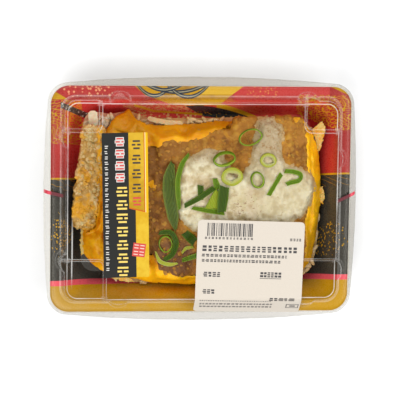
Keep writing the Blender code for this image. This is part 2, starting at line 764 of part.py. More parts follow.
def make_slice(number, row, material):
    """One slice of the breaded cutlet: upright cut sides, blunt ends and a craggy crust on top."""
    cx, cy, width, length, turn, top = row
    half_height = (top - SLICE_FLOOR) / 2
    rings = []
    for k in range(SLICE_ALONG):
        share = 2 * k / (SLICE_ALONG - 1) - 1
        t = math.sin(math.pi / 2 * share) * 0.995
        taper = (1 - abs(t) ** 9) ** 0.5
        wide = width / 2 * (SLICE_END_WIDTH + (1 - SLICE_END_WIDTH) * taper)
        high = half_height * (SLICE_END_HEIGHT + (1 - SLICE_END_HEIGHT) * taper)
        y = t * length / 2
        ring = []
        for i in range(SLICE_AROUND):
            angle = 2 * math.pi * (i + 0.5) / SLICE_AROUND
            c, s = math.cos(angle), math.sin(angle)
            x = wide * math.copysign(abs(c) ** 0.32, c)
            x += cut_wander(y, number - 1 if c < 0 else number)
            z = high * math.copysign(abs(s) ** 0.4, s)
            crag = CRAG_HEIGHT * (ripple(cx + x, y + 2 * z, CRAG_SPACING, number * 1.3) - 1) / 2
            ring.append((x, y, z + crag if s > 0 else z))
        rings.append(ring)
    bm = loft(rings)
    bmesh.ops.rotate(bm, matrix=Matrix.Rotation(math.radians(turn), 3, "Z"), verts=bm.verts)
    bmesh.ops.translate(bm, vec=(cx, cy, SLICE_FLOOR + half_height), verts=bm.verts)
    return add_object(f"cutlet_slice_{number}", bm, material, smooth_angle=60)


def white_floor(x):
    """Underside of the egg white, which hangs down past the last slice on the right."""
    return WHITE_FLOOR - 0.5 * max(0.0, x - 62.0)


def white_top(x, y):
    depth = max(0.0, inset_of(WHITE_OUTLINE, (x, y)))
    rise = WHITE_THICKNESS * (1 - math.exp(-depth / 4.0))
    return white_floor(x) + 0.7 + rise + 0.4 * ripple(x, y, 12.0, 5.1) * min(1.0, depth / 4.0)


def make_white(material):
    """The soft egg white: a lumpy sheet with thin rounded edges, on top of the slices."""
    outline = spline_through(WHITE_OUTLINE, 44)
    centre = Vector(WHITE_CENTRE)

    def ring(share, top):
        points = []
        for p in outline:
            q = centre + (p - centre) * share
            z = white_top(q.x, q.y) if top else white_floor(q.x)
            points.append((q.x, q.y, z))
        return points

    edge = [(p.x, p.y, white_floor(p.x) + 0.4) for p in outline]
    rings = [ring(0.45, False), ring(0.95, False), edge]
    rings += [ring(share, True) for share in (0.97, 0.88, 0.72, 0.5, 0.25)]
    return add_object("egg_white", loft(rings), material, smooth_angle=60)


def slice_support(x, y):
    """Height of the cutlet under a point, or the egg's collar where no slice lies."""
    best = EGG_COLLAR_TOP
    for cx, cy, width, length, turn, top in SLICES:
        local = Matrix.Rotation(-math.radians(turn), 2) @ Vector((x - cx, y - cy))
        if abs(local.x) < width / 2 + 1.5 and abs(local.y) < length / 2:
            best = max(best, top)
    return best


def support(x, y):
    """Height of what the spring onion lies on."""
    if inset_of(WHITE_OUTLINE, (x, y)) > -1.2:
        return max(white_top(x, y), white_floor(x) + 0.9)
    return slice_support(x, y)


def make_onion_ring(name, row, material):
    """A slice through a hollow spring onion leaf: a short oval tube."""
    cx, cy, half_x, half_y, wall, height, turn = row
    around = 14
    spin = math.radians(turn)
    points = []
    for i in range(around):
        angle = 2 * math.pi * i / around
        points.append((math.cos(angle), math.sin(angle)))

    def place(c, s, a, b):
        x, y = a * c, b * s
        return (
            cx + x * math.cos(spin) - y * math.sin(spin),
            cy + x * math.sin(spin) + y * math.cos(spin),
        )

    outer = [place(c, s, half_x, half_y) for c, s in points]
    inner = [place(c, s, half_x - wall, half_y - wall) for c, s in points]
    floor = max(support(x, y) for x, y in outer + inner) + GAP
    rings = [
        [(x, y, floor) for x, y in inner],
        [(x, y, floor) for x, y in outer],
        [(x, y, floor + height) for x, y in outer],
        [(x, y, floor + height) for x, y in inner],
    ]
    return add_object(name, loft(rings, closed_profile=True), material, smooth_angle=40)


def strip_rings(width, thickness, points, floor_of):
    """Four-cornered sections along a strip that narrows at its ends and lies on floor_of."""
    rings = []
    last = len(points) - 1
    for k, p in enumerate(points):
        ahead = points[min(k + 1, last)] - points[max(k - 1, 0)]
        side = Vector((-ahead.y, ahead.x)).normalized()
        half = width / 2 * (0.45 if k in (0, last) else 1.0)
        corners = [p + side * half, p - side * half]
        floor = max(floor_of(c.x, c.y) for c in (*corners, p))
        (ax, ay), (bx, by) = corners
        rings.append(
            [(ax, ay, floor), (bx, by, floor), (bx, by, floor + thickness), (ax, ay, floor + thickness)]
        )
    return rings


def make_onion_strip(name, row, material):
    """A cut strip or leaf of spring onion, draped over what it lies on."""
    width, thickness, layer, control = row
    points = open_spline(control, 4 * len(control) - 5)

    def floor_of(x, y):
        return support(x, y) + GAP + 1.3 * layer

    return add_object(name, loft(strip_rings(width, thickness, points, floor_of)), material, smooth_angle=40)


def make_onion_slice(name, row, material):
    """A cooked slice of onion that sticks out of the rice at the back."""
    width, thickness, height, control = row
    points = open_spline(control, 4 * len(control) - 4)
    rings = strip_rings(width, thickness, points, lambda x, y: height)
    return add_object(name, loft(rings), material, smooth_angle=40)


def main():
    clear_scene()
    clear = make_material("clear_plastic", CLEAR, 0.08, alpha=0.35)
    crust = make_material("crust", CRUST, 0.75)
    green = make_material("onion_green", ONION_GREEN, 0.45)
    pale = make_material("onion_pale", ONION_PALE, 0.45)
    cooked = make_material("onion_cooked", ONION_COOKED, 0.4)
    make_tray(make_material("printed_foam", TRAY_RED, 0.35))
    make_lid(clear)
    make_film(clear)
    make_front_label(make_material("front_label", LABEL_BLACK, 0.4))
    make_price_label(make_material("price_label", PAPER, 0.6))
    make_rice(make_material("rice", RICE, 0.5))
    make_egg(make_material("egg_yellow", YOLK, 0.35))
    for number, row in enumerate(SLICES, start=1):
        make_slice(number, row, crust)
    make_white(make_material("egg_white", EGG_WHITE, 0.3))
    for name, row in ONION_RINGS.items():
        make_onion_ring(name, row, pale if "pale" in name else green)
    for name, row in ONION_STRIPS.items():
        make_onion_strip(name, row, pale if "pale" in name or "arc" in name else green)
    for name, row in ONION_SLICES.items():
        make_onion_slice(name, row, cooked)


main()
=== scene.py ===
import math
import random

import bmesh
import bpy
import numpy as np
from mathutils import Matrix, Vector, noise
from mathutils.bvhtree import BVHTree


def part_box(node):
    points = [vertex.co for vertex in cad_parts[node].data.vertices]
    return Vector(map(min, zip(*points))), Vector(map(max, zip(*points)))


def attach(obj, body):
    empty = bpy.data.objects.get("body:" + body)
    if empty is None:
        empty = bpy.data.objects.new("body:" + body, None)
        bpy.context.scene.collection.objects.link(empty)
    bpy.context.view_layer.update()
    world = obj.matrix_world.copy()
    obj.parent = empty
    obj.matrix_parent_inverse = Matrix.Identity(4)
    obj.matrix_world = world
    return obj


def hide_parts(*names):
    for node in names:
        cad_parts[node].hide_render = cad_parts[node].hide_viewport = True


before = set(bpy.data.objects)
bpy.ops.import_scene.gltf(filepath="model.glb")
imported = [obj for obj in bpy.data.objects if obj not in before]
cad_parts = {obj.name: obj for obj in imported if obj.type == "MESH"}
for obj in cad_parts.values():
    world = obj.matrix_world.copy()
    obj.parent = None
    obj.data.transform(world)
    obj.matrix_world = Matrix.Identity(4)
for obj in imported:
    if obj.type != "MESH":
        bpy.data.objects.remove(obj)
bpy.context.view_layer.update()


# Tray. One sheet of foamed plastic, warm-pressed into a box with a flat rim and a rolled-down lip.
# Its inside carries a glossy printed film, laid a little askew: gold at the front, then black, then
# red with gold patterns. The outside is the bare white foam.
MM = 0.001
SIDE_DIFFERENCE = 23.0  # how much less the short side's half is than the long side's
RIM_TOP = 36.0
TRAY_PROFILE = (
    # half the long side, height, corner radius
    (64.5, 1.0, 5.0),
    (66.0, 0.0, 6.0),
    (72.0, 0.0, 8.0),
    (75.5, 1.6, 10.5),
    (88.1, 33.9, 11.5),
    (89.3, 34.5, 11.5),
    (92.5, 34.5, 11.5),
    (92.8, 33.0, 11.5),
    (94.0, 33.0, 11.5),
    (94.0, RIM_TOP, 11.5),
    (87.8, RIM_TOP, 10.5),
    (86.6, 35.0, 10.0),
    (76.1, 6.0, 10.0),
    (73.5, 2.8, 8.5),
)
PRINT_SKEW = 0.0195
GOLD_TO_PINK = -52.8
PINK_TO_BLACK = -49.4
BLACK_TO_RED = 14.4
PRINT_SHIFT = (0.105, 0.13)  # how far the print moves right and down for each mm below the rim
PRINT_CORDS = (
    # middle, lowest place and bend of each sagging cord
    (-30.0, 65.0, 0.060),
    (-16.0, 67.3, 0.015),
    (-9.0, 64.4, 0.046),
    (-24.0, 68.6, 0.030),
)
RED_WALL_PAINTED_LIGHT = 0.95  # painted light: how much lighter each colour is made on the walls than on the rim
BLACK_WALL_PAINTED_LIGHT = 0.9
PINK_WALL_PAINTED_LIGHT = 0.25
GOLD = (0.52, 0.28, 0.008)
GOLD_DARK = (0.33, 0.165, 0.012)
GOLD_PALE = (0.66, 0.40, 0.035)
GOLD_CLOUD = (0.50, 0.29, 0.04)
GOLD_DUST = (0.66, 0.24, 0.07)
RED = (0.40, 0.032, 0.030)
RED_BRIGHT = (0.52, 0.045, 0.043)
RED_DEEP = (0.28, 0.018, 0.017)
# A paler red, painted light for the back wall's shade.
RED_MIST_PAINTED_LIGHT = (0.50, 0.12, 0.06)
PINK = (0.78, 0.10, 0.14)
BLACK = (0.045, 0.042, 0.036)
SWOOSH_BLACK = (0.018, 0.024, 0.026)
CORD_EDGE = (0.02, 0.03, 0.05)
CORD_CORE = (0.34, 0.31, 0.20)
DOT_ORANGE = (0.72, 0.30, 0.16)
DOT_GOLD = (0.62, 0.30, 0.12)
DOT_CREAM = (0.45, 0.42, 0.36)
PALEST_PRINT = (0.92, 0.92, 0.92)
MOTTLE_ROUGHNESS = 0.55  # how much the finer patches of an uneven surface count
SOFTENING_ROUNDS = 2  # how often the corners of a pressed profile are cut round


def ring_of(half, z, radius, long_points, short_points, corner_points=12):
    """Points round a rounded rectangle in mm, with extra points evenly along the straight sides."""
    half_y = half - SIDE_DIFFERENCE
    flat_x, flat_y = half - radius, half_y - radius
    sides = []
    for count, start, end in (
        (short_points, (half, -flat_y), (half, flat_y)),
        (long_points, (flat_x, half_y), (-flat_x, half_y)),
        (short_points, (-half, flat_y), (-half, -flat_y)),
        (long_points, (-flat_x, -half_y), (flat_x, -half_y)),
    ):
        sides.append([Vector(start).lerp(Vector(end), (k + 1) / (count + 1)) for k in range(count)])
    centres = ((flat_x, flat_y), (-flat_x, flat_y), (-flat_x, -flat_y), (flat_x, -flat_y))
    points = []
    for quarter, (side, (cx, cy)) in enumerate(zip(sides, centres)):
        points += [(p.x, p.y, z) for p in side]
        for k in range(corner_points):
            angle = math.pi / 2 * (quarter + k / (corner_points - 1))
            points.append((cx + radius * math.cos(angle), cy + radius * math.sin(angle), z))
    return points


def softened(profile):
    """A profile with its corners cut round, so that pressed plastic has no sharp edge."""
    rows = [np.array(row, float) for row in profile]
    for _ in range(SOFTENING_ROUNDS):
        cut = [rows[0]]
        for a, b in zip(rows, rows[1:]):
            cut += [a * 0.75 + b * 0.25, a * 0.25 + b * 0.75]
        rows = cut + [rows[-1]]
    return rows


def add_piece(name, points, faces, *materials, smooth_angle=40):
    """A named mesh piece from points in mm."""
    mesh = bpy.data.meshes.new(name)
    mesh.from_pydata([(x * MM, y * MM, z * MM) for x, y, z in points], [], faces)
    for material in materials:
        mesh.materials.append(material)
    mesh.shade_smooth()
    mesh.set_sharp_from_angle(angle=math.radians(smooth_angle))
    piece = bpy.data.objects.new(name, mesh)
    bpy.context.scene.collection.objects.link(piece)
    return piece


def skin_faces(rings, caps=True):
    """Faces that join equal rings of points, one after the other, and may cap both ends."""
    size = len(rings[0])
    faces = []
    for row in range(len(rings) - 1):
        for i in range(size):
            j = (i + 1) % size
            low, high = row * size, (row + 1) * size
            faces.append((low + i, low + j, high + j, high + i))
    if caps:
        last = (len(rings) - 1) * size
        faces += [tuple(range(size))[::-1], tuple(range(last, last + size))]
    return faces


def joined(rings):
    """The points of all rings in one list."""
    return [point for ring in rings for point in ring]


class Field:
    """A number that varies over a surface, worked out by a material's nodes."""

    def __init__(self, tree, socket):
        self.tree = tree
        self.socket = socket

    def by(self, operation, *others):
        """One step of maths with this number and any others."""
        node = self.tree.nodes.new("ShaderNodeMath")
        node.operation = operation
        for place, value in enumerate((self, *others)):
            if isinstance(value, Field):
                self.tree.links.new(value.socket, node.inputs[place])
            else:
                node.inputs[place].default_value = value
        return Field(self.tree, node.outputs[0])

    def __add__(self, other):
        return self.by("ADD", other)

    def __sub__(self, other):
        return self.by("SUBTRACT", other)

    def __mul__(self, other):
        return self.by("MULTIPLY", other)

    def __abs__(self):
        return self.by("ABSOLUTE")

    def __lt__(self, other):
        return self.by("LESS_THAN", other)

    def __gt__(self, other):
        return self.by("GREATER_THAN", other)

    def __or__(self, other):
        return self.by("MAXIMUM", other)

    def reach(self, other):
        """How far a place is from where two lines cross at a right angle, from its distance to each."""
        return (self * self + other * other).by("SQRT")

    def between(self, low, high):
        """1 between two values and 0 elsewhere."""
        return (self > low) * (self < high)

    def ramp(self, low, high):
        """Rises smoothly from 0 at low to 1 at high."""
        node = self.tree.nodes.new("ShaderNodeMapRange")
        node.interpolation_type = "SMOOTHSTEP"
        self.tree.links.new(self.socket, node.inputs["Value"])
        node.inputs["From Min"].default_value = low
        node.inputs["From Max"].default_value = high
        return Field(self.tree, node.outputs["Result"])


class Finish:
    """A material being mixed: its nodes, its surface shader, and its place on the object in mm."""

    def __init__(self, name, roughness, **sockets):
        self.material = bpy.data.materials.new(name)
        self.material.use_nodes = True
        self.tree = self.material.node_tree
        self.shader = self.tree.nodes["Principled BSDF"]
        self.shader.inputs["Roughness"].default_value = roughness
        for socket, value in sockets.items():
            self.shader.inputs[socket.replace("_", " ")].default_value = value
        coordinates = self.tree.nodes.new("ShaderNodeTexCoord")
        scaled = self.vector("SCALE", coordinates.outputs["Object"])
        scaled.inputs["Scale"].default_value = 1 / MM
        self.place = scaled.outputs[0]
        split = self.tree.nodes.new("ShaderNodeSeparateXYZ")
        self.tree.links.new(self.place, split.inputs[0])
        self.x, self.y, self.z = (Field(self.tree, out) for out in split.outputs)

    def mottle(self, size, detail=3.0, distortion=0.0):
        """Cloudy unevenness from 0 to 1 with patches about size mm across."""
        node = self.tree.nodes.new("ShaderNodeTexNoise")
        node.inputs["Scale"].default_value = 1 / size
        node.inputs["Detail"].default_value = detail
        node.inputs["Roughness"].default_value = MOTTLE_ROUGHNESS
        node.inputs["Distortion"].default_value = distortion
        self.tree.links.new(self.place, node.inputs["Vector"])
        return Field(self.tree, node.outputs["Fac"])

    def cells(self, size):
        """Distance to the nearest of points scattered about size mm apart, as a share of size."""
        node = self.tree.nodes.new("ShaderNodeTexVoronoi")
        node.inputs["Scale"].default_value = 1 / size
        self.tree.links.new(self.place, node.inputs["Vector"])
        return Field(self.tree, node.outputs["Distance"])

    def stored(self, name="tone"):
        """A number that the mesh keeps for each of its points."""
        node = self.tree.nodes.new("ShaderNodeAttribute")
        node.attribute_name = name
        return Field(self.tree, node.outputs["Fac"])

    def vector(self, operation, source):
        """A node of vector maths on a colour or a place."""
        node = self.tree.nodes.new("ShaderNodeVectorMath")
        node.operation = operation
        self.tree.links.new(source, node.inputs[0])
        return node

    def layers(self, base, *layers):
        """Colours laid over each other: a base, then pairs of where a colour lies and the colour."""
        colour = base
        for mask, over in layers:
            mix = self.tree.nodes.new("ShaderNodeMix")
            mix.data_type = "RGBA"
            self.tree.links.new(mask.socket, mix.inputs["Factor"])
            for value, socket in ((colour, mix.inputs[6]), (over, mix.inputs[7])):
                if isinstance(value, tuple):
                    socket.default_value = (*value, 1.0)
                else:
                    self.tree.links.new(value, socket)
            colour = mix.outputs[2]
        return colour

    def colour(self, *layers):
        """Gives the surface a base colour and the colours laid over it."""
        self.tree.links.new(self.layers(*layers), self.shader.inputs["Base Color"])

    def varied(self, socket, field):
        """Lets one of the shader's numbers vary over the surface."""
        self.tree.links.new(field.socket, self.shader.inputs[socket])

    def bump(self, field, depth):
        """Fine relief: depth is in mm for a field that goes from 0 to 1."""
        node = self.tree.nodes.new("ShaderNodeBump")
        node.inputs["Distance"].default_value = depth * MM
        self.tree.links.new(field.socket, node.inputs["Height"])
        self.tree.links.new(node.outputs[0], self.shader.inputs["Normal"])


printed = Finish("printed film", 0.3, Coat_Weight=0.12, Coat_Roughness=0.12, Specular_IOR_Level=0.35)
below_rim = printed.z * -1.0 + RIM_TOP
px = printed.x - below_rim * PRINT_SHIFT[0]
py = printed.y + below_rim * PRINT_SHIFT[1]
level = py - px * PRINT_SKEW
grain = printed.mottle(0.9, detail=2.0)
cloud = printed.mottle(26.0)
dust = printed.cells(2.1)
scribble = printed.mottle(7.0, detail=2.0)
dots = dust < 0.34
fine_dots = printed.cells(1.9) < (cloud * 0.3 + 0.16)
weave = (abs((py * 1.5 + px * 0.5 + scribble * 15.0).by("SINE")) < 0.36) | (
    abs((px * 1.3 - py * 0.8 + scribble * 18.0).by("SINE")) < 0.26
)
fine_waves = abs((px * 0.4 + cloud * 10.0 + level * 0.9).by("SINE")) < 0.12

red_part = level > BLACK_TO_RED
black_part = level.between(PINK_TO_BLACK, BLACK_TO_RED)
pink_part = level < PINK_TO_BLACK
front_gold = level < GOLD_TO_PINK
gold_seam = level.between(BLACK_TO_RED - 0.1, BLACK_TO_RED + 1.0)
mist_band = red_part * py.between(46.0, 61.0)
bright_band = red_part * (py > 60.0) * px.between(20.0, 80.0)
back_left_dots = red_part * (py > 64.0) * px.between(-88.0, -56.0) * dots
gold_dust = red_part * (py > 63.5) * px.between(28.0, 48.0) * (weave * dots)
left_fan = (px < -76.0) * (py > 35.0) * (py < 62.0)
right_fan = (px > 60.0) * (py > 44.0) * ((px - 60.0) * 0.45 + (py - 44.0) > 12.0) * (py < 66.0)
right_band = (px > 84.0) * py.between(44.0, 66.0)
left_patch = (px < -84.0) * (py > 62.4) * ((px * 0.6 + py) < 12.4)
right_patch = (px * 0.45 + py) > 107.4
top_gold = (py > 60.0) * ((px + py * 1.13) > 38.1) * ((px - py * 1.32) < -68.3) * ((px * 0.3 + py) > 54.4)
swoosh = py - 59.8 + (px + 5.0) * (px + 5.0) * 0.0052
swoosh_edge = swoosh + (px + 11.0).by("MINIMUM", 12.0) * 0.5
swoosh_tail = px.between(-11.5, 1.0) * (abs(py - 59.4 + px * 0.36) < 1.3)
swoosh_part = (px.between(-11.0, 46.0) * (swoosh < 0.0) * (swoosh_edge > 0.0)) | swoosh_tail
swoosh_rim = px.between(9.0, 42.0) * swoosh.between(0.0, 2.4)
thin_line = abs(py - 56.0 + (px + 18.0) * 0.06 - (px * -1.0 - 31.0).by("MAXIMUM", 0.0) * 0.2) < 0.6
corner_band = px.between(-88.0, -69.0) * (abs(py - 58.6 + (px + 87.0) * 0.364) < 1.9)
speckle_left = abs(py + 22.0) * 0.07 + abs(px + 89.0) * 0.1 < 1.0
speckle_right = (abs(py + 26.0 - (px - 80.0) * 0.25) * 0.085 + abs(px - 82.0) * 0.045) < 1.0
cord_layers = []
for cord_middle, cord_low, cord_bend in PRINT_CORDS:
    aside = px - cord_middle
    sag = py - cord_low - aside * aside * cord_bend
    cord_layers.append((top_gold * (abs(sag) < 1.25), CORD_EDGE))
    cord_layers.append((top_gold * (abs(sag) < 0.3), CORD_CORE))
inks = printed.layers(
    RED,
    (cloud.ramp(0.35, 0.75) * red_part, RED_BRIGHT),
    (red_part * abs(px + 12.0).ramp(72.0, 96.0) * 0.6, RED_DEEP),
    (back_left_dots, DOT_ORANGE),
    # Paler red in cloudy patches over the back wall: painted light against the wall's shade.
    (mist_band * px.between(-50.0, 80.0) * cloud.ramp(0.4, 0.6) * 0.5, RED_MIST_PAINTED_LIGHT),
    (mist_band * px.between(-50.0, -4.0) * (dust < 0.42), DOT_GOLD),
    (bright_band, RED_BRIGHT),
    (gold_dust, GOLD_DUST),
    ((left_fan | right_fan | right_band) * weave, GOLD),
    (left_patch, GOLD),
    (right_patch, GOLD),
    (swoosh_part, SWOOSH_BLACK),
    (swoosh_part * fine_dots * (swoosh < -2.6), GOLD),
    (swoosh_rim, GOLD),
    (px.between(-43.0, 0.0) * thin_line, GOLD),
    (corner_band, BLACK),
    (corner_band * fine_dots, DOT_CREAM),
    (top_gold, GOLD),
    (top_gold * cloud.ramp(0.5, 0.6), GOLD_DARK),
    (top_gold * (px > -2.0) * (py > 66.0), GOLD_PALE),
    *cord_layers,
    (black_part, BLACK),
    (black_part * (level > 7.0) * fine_waves, GOLD_DARK),
    (gold_seam, GOLD),
    (black_part * (speckle_left | speckle_right) * fine_dots, GOLD),
    (pink_part, PINK),
    (front_gold, GOLD),
    (front_gold * cloud.ramp(0.42, 0.62), GOLD_CLOUD),
)
# Painted light: below the rim the print's colours are made lighter, by each colour's share, against the
# walls' shade. Less is added at the right end, and nothing gets paler than the palest print.
right_end = px.ramp(70.0, 80.0) * -0.5 + 1.0
painted_wall_light = (red_part * RED_WALL_PAINTED_LIGHT + black_part * BLACK_WALL_PAINTED_LIGHT) * right_end
painted_wall_light += pink_part * PINK_WALL_PAINTED_LIGHT
lit_inks = printed.vector("SCALE", inks)
printed.tree.links.new((below_rim.ramp(1.0, 9.0) * painted_wall_light + 1.0).socket, lit_inks.inputs["Scale"])
palest = printed.vector("MINIMUM", lit_inks.outputs[0])
palest.inputs[1].default_value = PALEST_PRINT
printed.tree.links.new(palest.outputs[0], printed.shader.inputs["Base Color"])
printed.varied("Roughness", grain * 0.12 + 0.22)
printed.bump(grain, 0.05)

bare_foam = Finish("white foam", 0.6, Subsurface_Weight=0.15)
foam_beads = bare_foam.cells(0.9)
bare_foam.colour((0.78, 0.77, 0.74), (foam_beads.ramp(0.1, 0.7), (0.70, 0.69, 0.66)))
bare_foam.bump(foam_beads, 0.12)

tray_rows = softened(TRAY_PROFILE)
tray_rings = [ring_of(*row, corner_points=14, long_points=8, short_points=6) for row in tray_rows]
tray = add_piece(
    "pressed_tray",
    joined(tray_rings),
    skin_faces(tray_rings),
    printed.material,
    bare_foam.material,
    smooth_angle=30,
)
lip_row = max(range(len(tray_rows)), key=lambda row: (tray_rows[row][0], -row))
for face in tray.data.polygons:
    if max(face.vertices) < (lip_row + 1) * len(tray_rings[0]):
        face.material_index = 1
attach(tray, "root")
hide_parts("tray")


# Rice. Short-grain rice, steamed and pressed flat into the tray with its warm sauce, so that it
# sticks together. It shows as loose grains round the egg and as the bed's own lumps between them.
RICE_TOP = 16.7
RICE_CROWN = 4.2  # how much higher the middle is than the edge
RICE_REACH = (80.0, 57.0)
RICE_FOOT = ((0.9, 3.4), (0.94, 7.0))  # share of the outline and height, for the rows under the top
RICE_OUTLINE = (
    (77.5, 0.0), (77.5, 20.0), (76.0, 34.0), (70.0, 45.0), (60.0, 49.5), (40.0, 50.5), (20.0, 50.0),
    (0.0, 49.5), (-20.0, 49.5), (-34.0, 50.0), (-44.0, 53.5), (-56.0, 52.0), (-64.0, 53.0),
    (-71.0, 51.0), (-73.5, 42.0), (-73.5, 25.0), (-74.5, 5.0), (-75.0, -12.0), (-73.5, -28.0),
    (-70.0, -38.0), (-62.0, -46.0), (-52.0, -53.0), (-40.0, -55.5), (-10.0, -55.5), (30.0, -55.5),
    (60.0, -54.0), (72.0, -47.0), (76.5, -35.0), (77.5, -18.0),
)
GRAIN_LENGTH = 6.2
GRAIN_WIDTH = 2.7
GRAIN_COUNT = 2600
GRAIN_FIELD = ((-78.0, 78.0), (-57.0, 55.0))  # x and y between which grains are strewn
LEAST_GRAIN_BED = 14.0
BED_STEPS = 34
BED_EDGE_DROPS = {0: 1.6, 1: 0.5}  # how much lower the outermost rows of the bed lie
ABOVE_ALL = 80.0  # a height over the whole pack, where plumb lines start


def lumps(x, y, size, seed):
    """Smooth unevenness from -1 to 1, with lumps about size mm apart."""
    return noise.noise(Vector((x / size, y / size, seed)))


def rice_height(x, y):
    """How high the rice lies at a place: a low crown with lumps."""
    across = max(abs(x) / RICE_REACH[0], abs(y) / RICE_REACH[1])
    rise = RICE_CROWN * (1 - min(1.0, across) ** 4)
    return RICE_TOP + rise + 0.35 * lumps(x, y, 5.0, 2.0) + 0.3 * lumps(x, y, 2.2, 6.0)


def curve_place(neighbours, s):
    """A place on the smooth curve through four points, a share s of the way from the second to the third."""
    before, start, end, after = (Vector(point) for point in neighbours)
    bend = 2 * before - 5 * start + 4 * end - after
    twist = 3 * start - before - 3 * end + after
    return 0.5 * (2 * start + (end - before) * s + bend * s * s + twist * s**3)


def smooth_loop(control, count):
    """Points along a smooth closed curve through the control points."""
    points = []
    for k in range(count):
        place = len(control) * k / count
        i = int(place)
        points.append(curve_place([control[(i + j) % len(control)] for j in (-1, 0, 1, 2)], place - i))
    return points


def tree_over(objects):
    """A search tree over meshes, in mm, for finding what lies under a point."""
    points, faces = [], []
    for obj in objects:
        start = len(points)
        points += [vertex.co / MM for vertex in obj.data.vertices]
        faces += [[start + i for i in face.vertices] for face in obj.data.polygons]
    return BVHTree.FromPolygons(points, faces)


def height_on(tree, x, y):
    """Where a plumb line at a place meets the tree's meshes from above, and which way they face there.

    The height is 0 and the facing None where nothing lies under the line.
    """
    place, normal, _, _ = tree.ray_cast(Vector((x, y, ABOVE_ALL)), Vector((0, 0, -1)))
    return (0.0, None) if place is None else (place.z, normal)


def scattered(template, faces, spots):
    """Many turned, sized and placed copies of one small form, as points and faces, with a tone for each."""
    points, all_faces, tones = [], [], []
    for place, turn, size, tone in spots:
        start = len(points)
        points += [place + turn @ Vector((p.x * size[0], p.y * size[1], p.z * size[2])) for p in template]
        all_faces += [tuple(start + i for i in face) for face in faces]
        tones += [tone] * len(template)
    return points, all_faces, tones


def keep_tones(piece, tones, name="tone"):
    """Stores a number for each point in the mesh, for its material."""
    attribute = piece.data.attributes.new(name, "FLOAT", "POINT")
    attribute.data.foreach_set("value", tones)


def small_form(segments, rings, bend):
    """A long round form 1 mm long, lying along X and bent a little, such as a grain."""
    form = bmesh.new()
    bmesh.ops.create_uvsphere(form, u_segments=segments, v_segments=rings, radius=0.5)
    bmesh.ops.rotate(form, matrix=Matrix.Rotation(math.pi / 2, 3, "Y"), verts=form.verts)
    points = [Vector((v.co.x, v.co.y, v.co.z + bend * (0.25 - v.co.x**2))) for v in form.verts]
    faces = [tuple(v.index for v in face.verts) for face in form.faces]
    form.free()
    return points, faces


rice_finish = Finish(
    "steamed rice", 0.42, Subsurface_Weight=0.35, Subsurface_Scale=0.003, Subsurface_Radius=(1.0, 0.7, 0.4)
)
sauce_patches = rice_finish.mottle(9.0)
rice_finish.colour(
    (0.74, 0.64, 0.47),
    (rice_finish.stored(), (0.64, 0.49, 0.29)),
    (sauce_patches.ramp(0.5, 0.75) * 0.8, (0.54, 0.36, 0.17)),
    (rice_finish.x.ramp(-56.0, -46.0) * 0.65, (0.56, 0.36, 0.14)),
)
rice_finish.bump(rice_finish.mottle(1.2), 0.15)

rice_edge = smooth_loop(RICE_OUTLINE, 260)
bed_rings = [[(p.x * share, p.y * share, z) for p in rice_edge] for share, z in RICE_FOOT]
for step in range(BED_STEPS):
    share = 1 - 0.97 * step / (BED_STEPS - 1)
    drop = BED_EDGE_DROPS.get(step, 0.0)
    places = [(p.x * share, p.y * share) for p in rice_edge]
    bed_rings.append([(x, y, rice_height(x, y) - drop) for x, y in places])
rice_bed = add_piece("rice_bed", joined(bed_rings), skin_faces(bed_rings), rice_finish.material)
keep_tones(rice_bed, [1.0] * len(rice_bed.data.vertices))

lying_over = [node for name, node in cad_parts.items() if name.startswith(("egg_sheet", "cutlet"))]
over_rice = tree_over(lying_over)
rice_tree = tree_over([rice_bed])
rice_draw = random.Random(11)
rice_spots = []
for _ in range(GRAIN_COUNT):
    x, y = (rice_draw.uniform(*span) for span in GRAIN_FIELD)
    spin = rice_draw.uniform(0, math.pi)
    tip = Vector((math.cos(spin), math.sin(spin))) * GRAIN_LENGTH * 0.25
    ends = [(x + tip.x, y + tip.y), (x - tip.x, y - tip.y), (x, y)]
    if height_on(over_rice, x, y)[0] or any(height_on(rice_tree, *end)[0] < LEAST_GRAIN_BED for end in ends):
        continue
    lean = Matrix.Rotation(spin, 3, "Z") @ Matrix.Rotation(rice_draw.uniform(-0.3, 0.3), 3, "Y")
    size = (
        GRAIN_LENGTH * rice_draw.uniform(0.8, 1.08),
        GRAIN_WIDTH * rice_draw.uniform(0.85, 1.1),
        GRAIN_WIDTH * rice_draw.uniform(0.8, 1.0),
    )
    place = Vector((x, y, rice_height(x, y) + rice_draw.uniform(0.2, 1.3)))
    rice_spots.append((place, lean, size, rice_draw.uniform(0.0, 0.8)))
grain_points, grain_faces, grain_tones = scattered(*small_form(10, 7, 0.25), rice_spots)
rice_grains = add_piece("rice_grains", grain_points, grain_faces, rice_finish.material, smooth_angle=180)
keep_tones(rice_grains, grain_tones)
for piece in (rice_bed, rice_grains):
    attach(piece, "root")
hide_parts("rice")


# Egg. Beaten egg poured round the cutlet and cooked soft, so that it sets as a thick glossy sheet
# with ripples, and as thin pale frills at its edge. It is yellow-orange with paler streaks of white.
def finer(name, node, voxel, smoothing=2):
    """A copy of a plain solid with small even faces, which can then take fine relief."""
    piece = bpy.data.objects.new(name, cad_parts[node].data.copy())
    bpy.context.scene.collection.objects.link(piece)
    remesh = piece.modifiers.new("even faces", "REMESH")
    remesh.mode = "VOXEL"
    remesh.voxel_size = voxel * MM
    smooth = piece.modifiers.new("soften", "SMOOTH")
    smooth.iterations = smoothing
    graph = bpy.context.evaluated_depsgraph_get()
    mesh = bpy.data.meshes.new_from_object(piece.evaluated_get(graph))
    mesh.name = name
    piece.modifiers.clear()
    piece.data = mesh
    mesh.materials.clear()
    mesh.shade_smooth()
    return piece


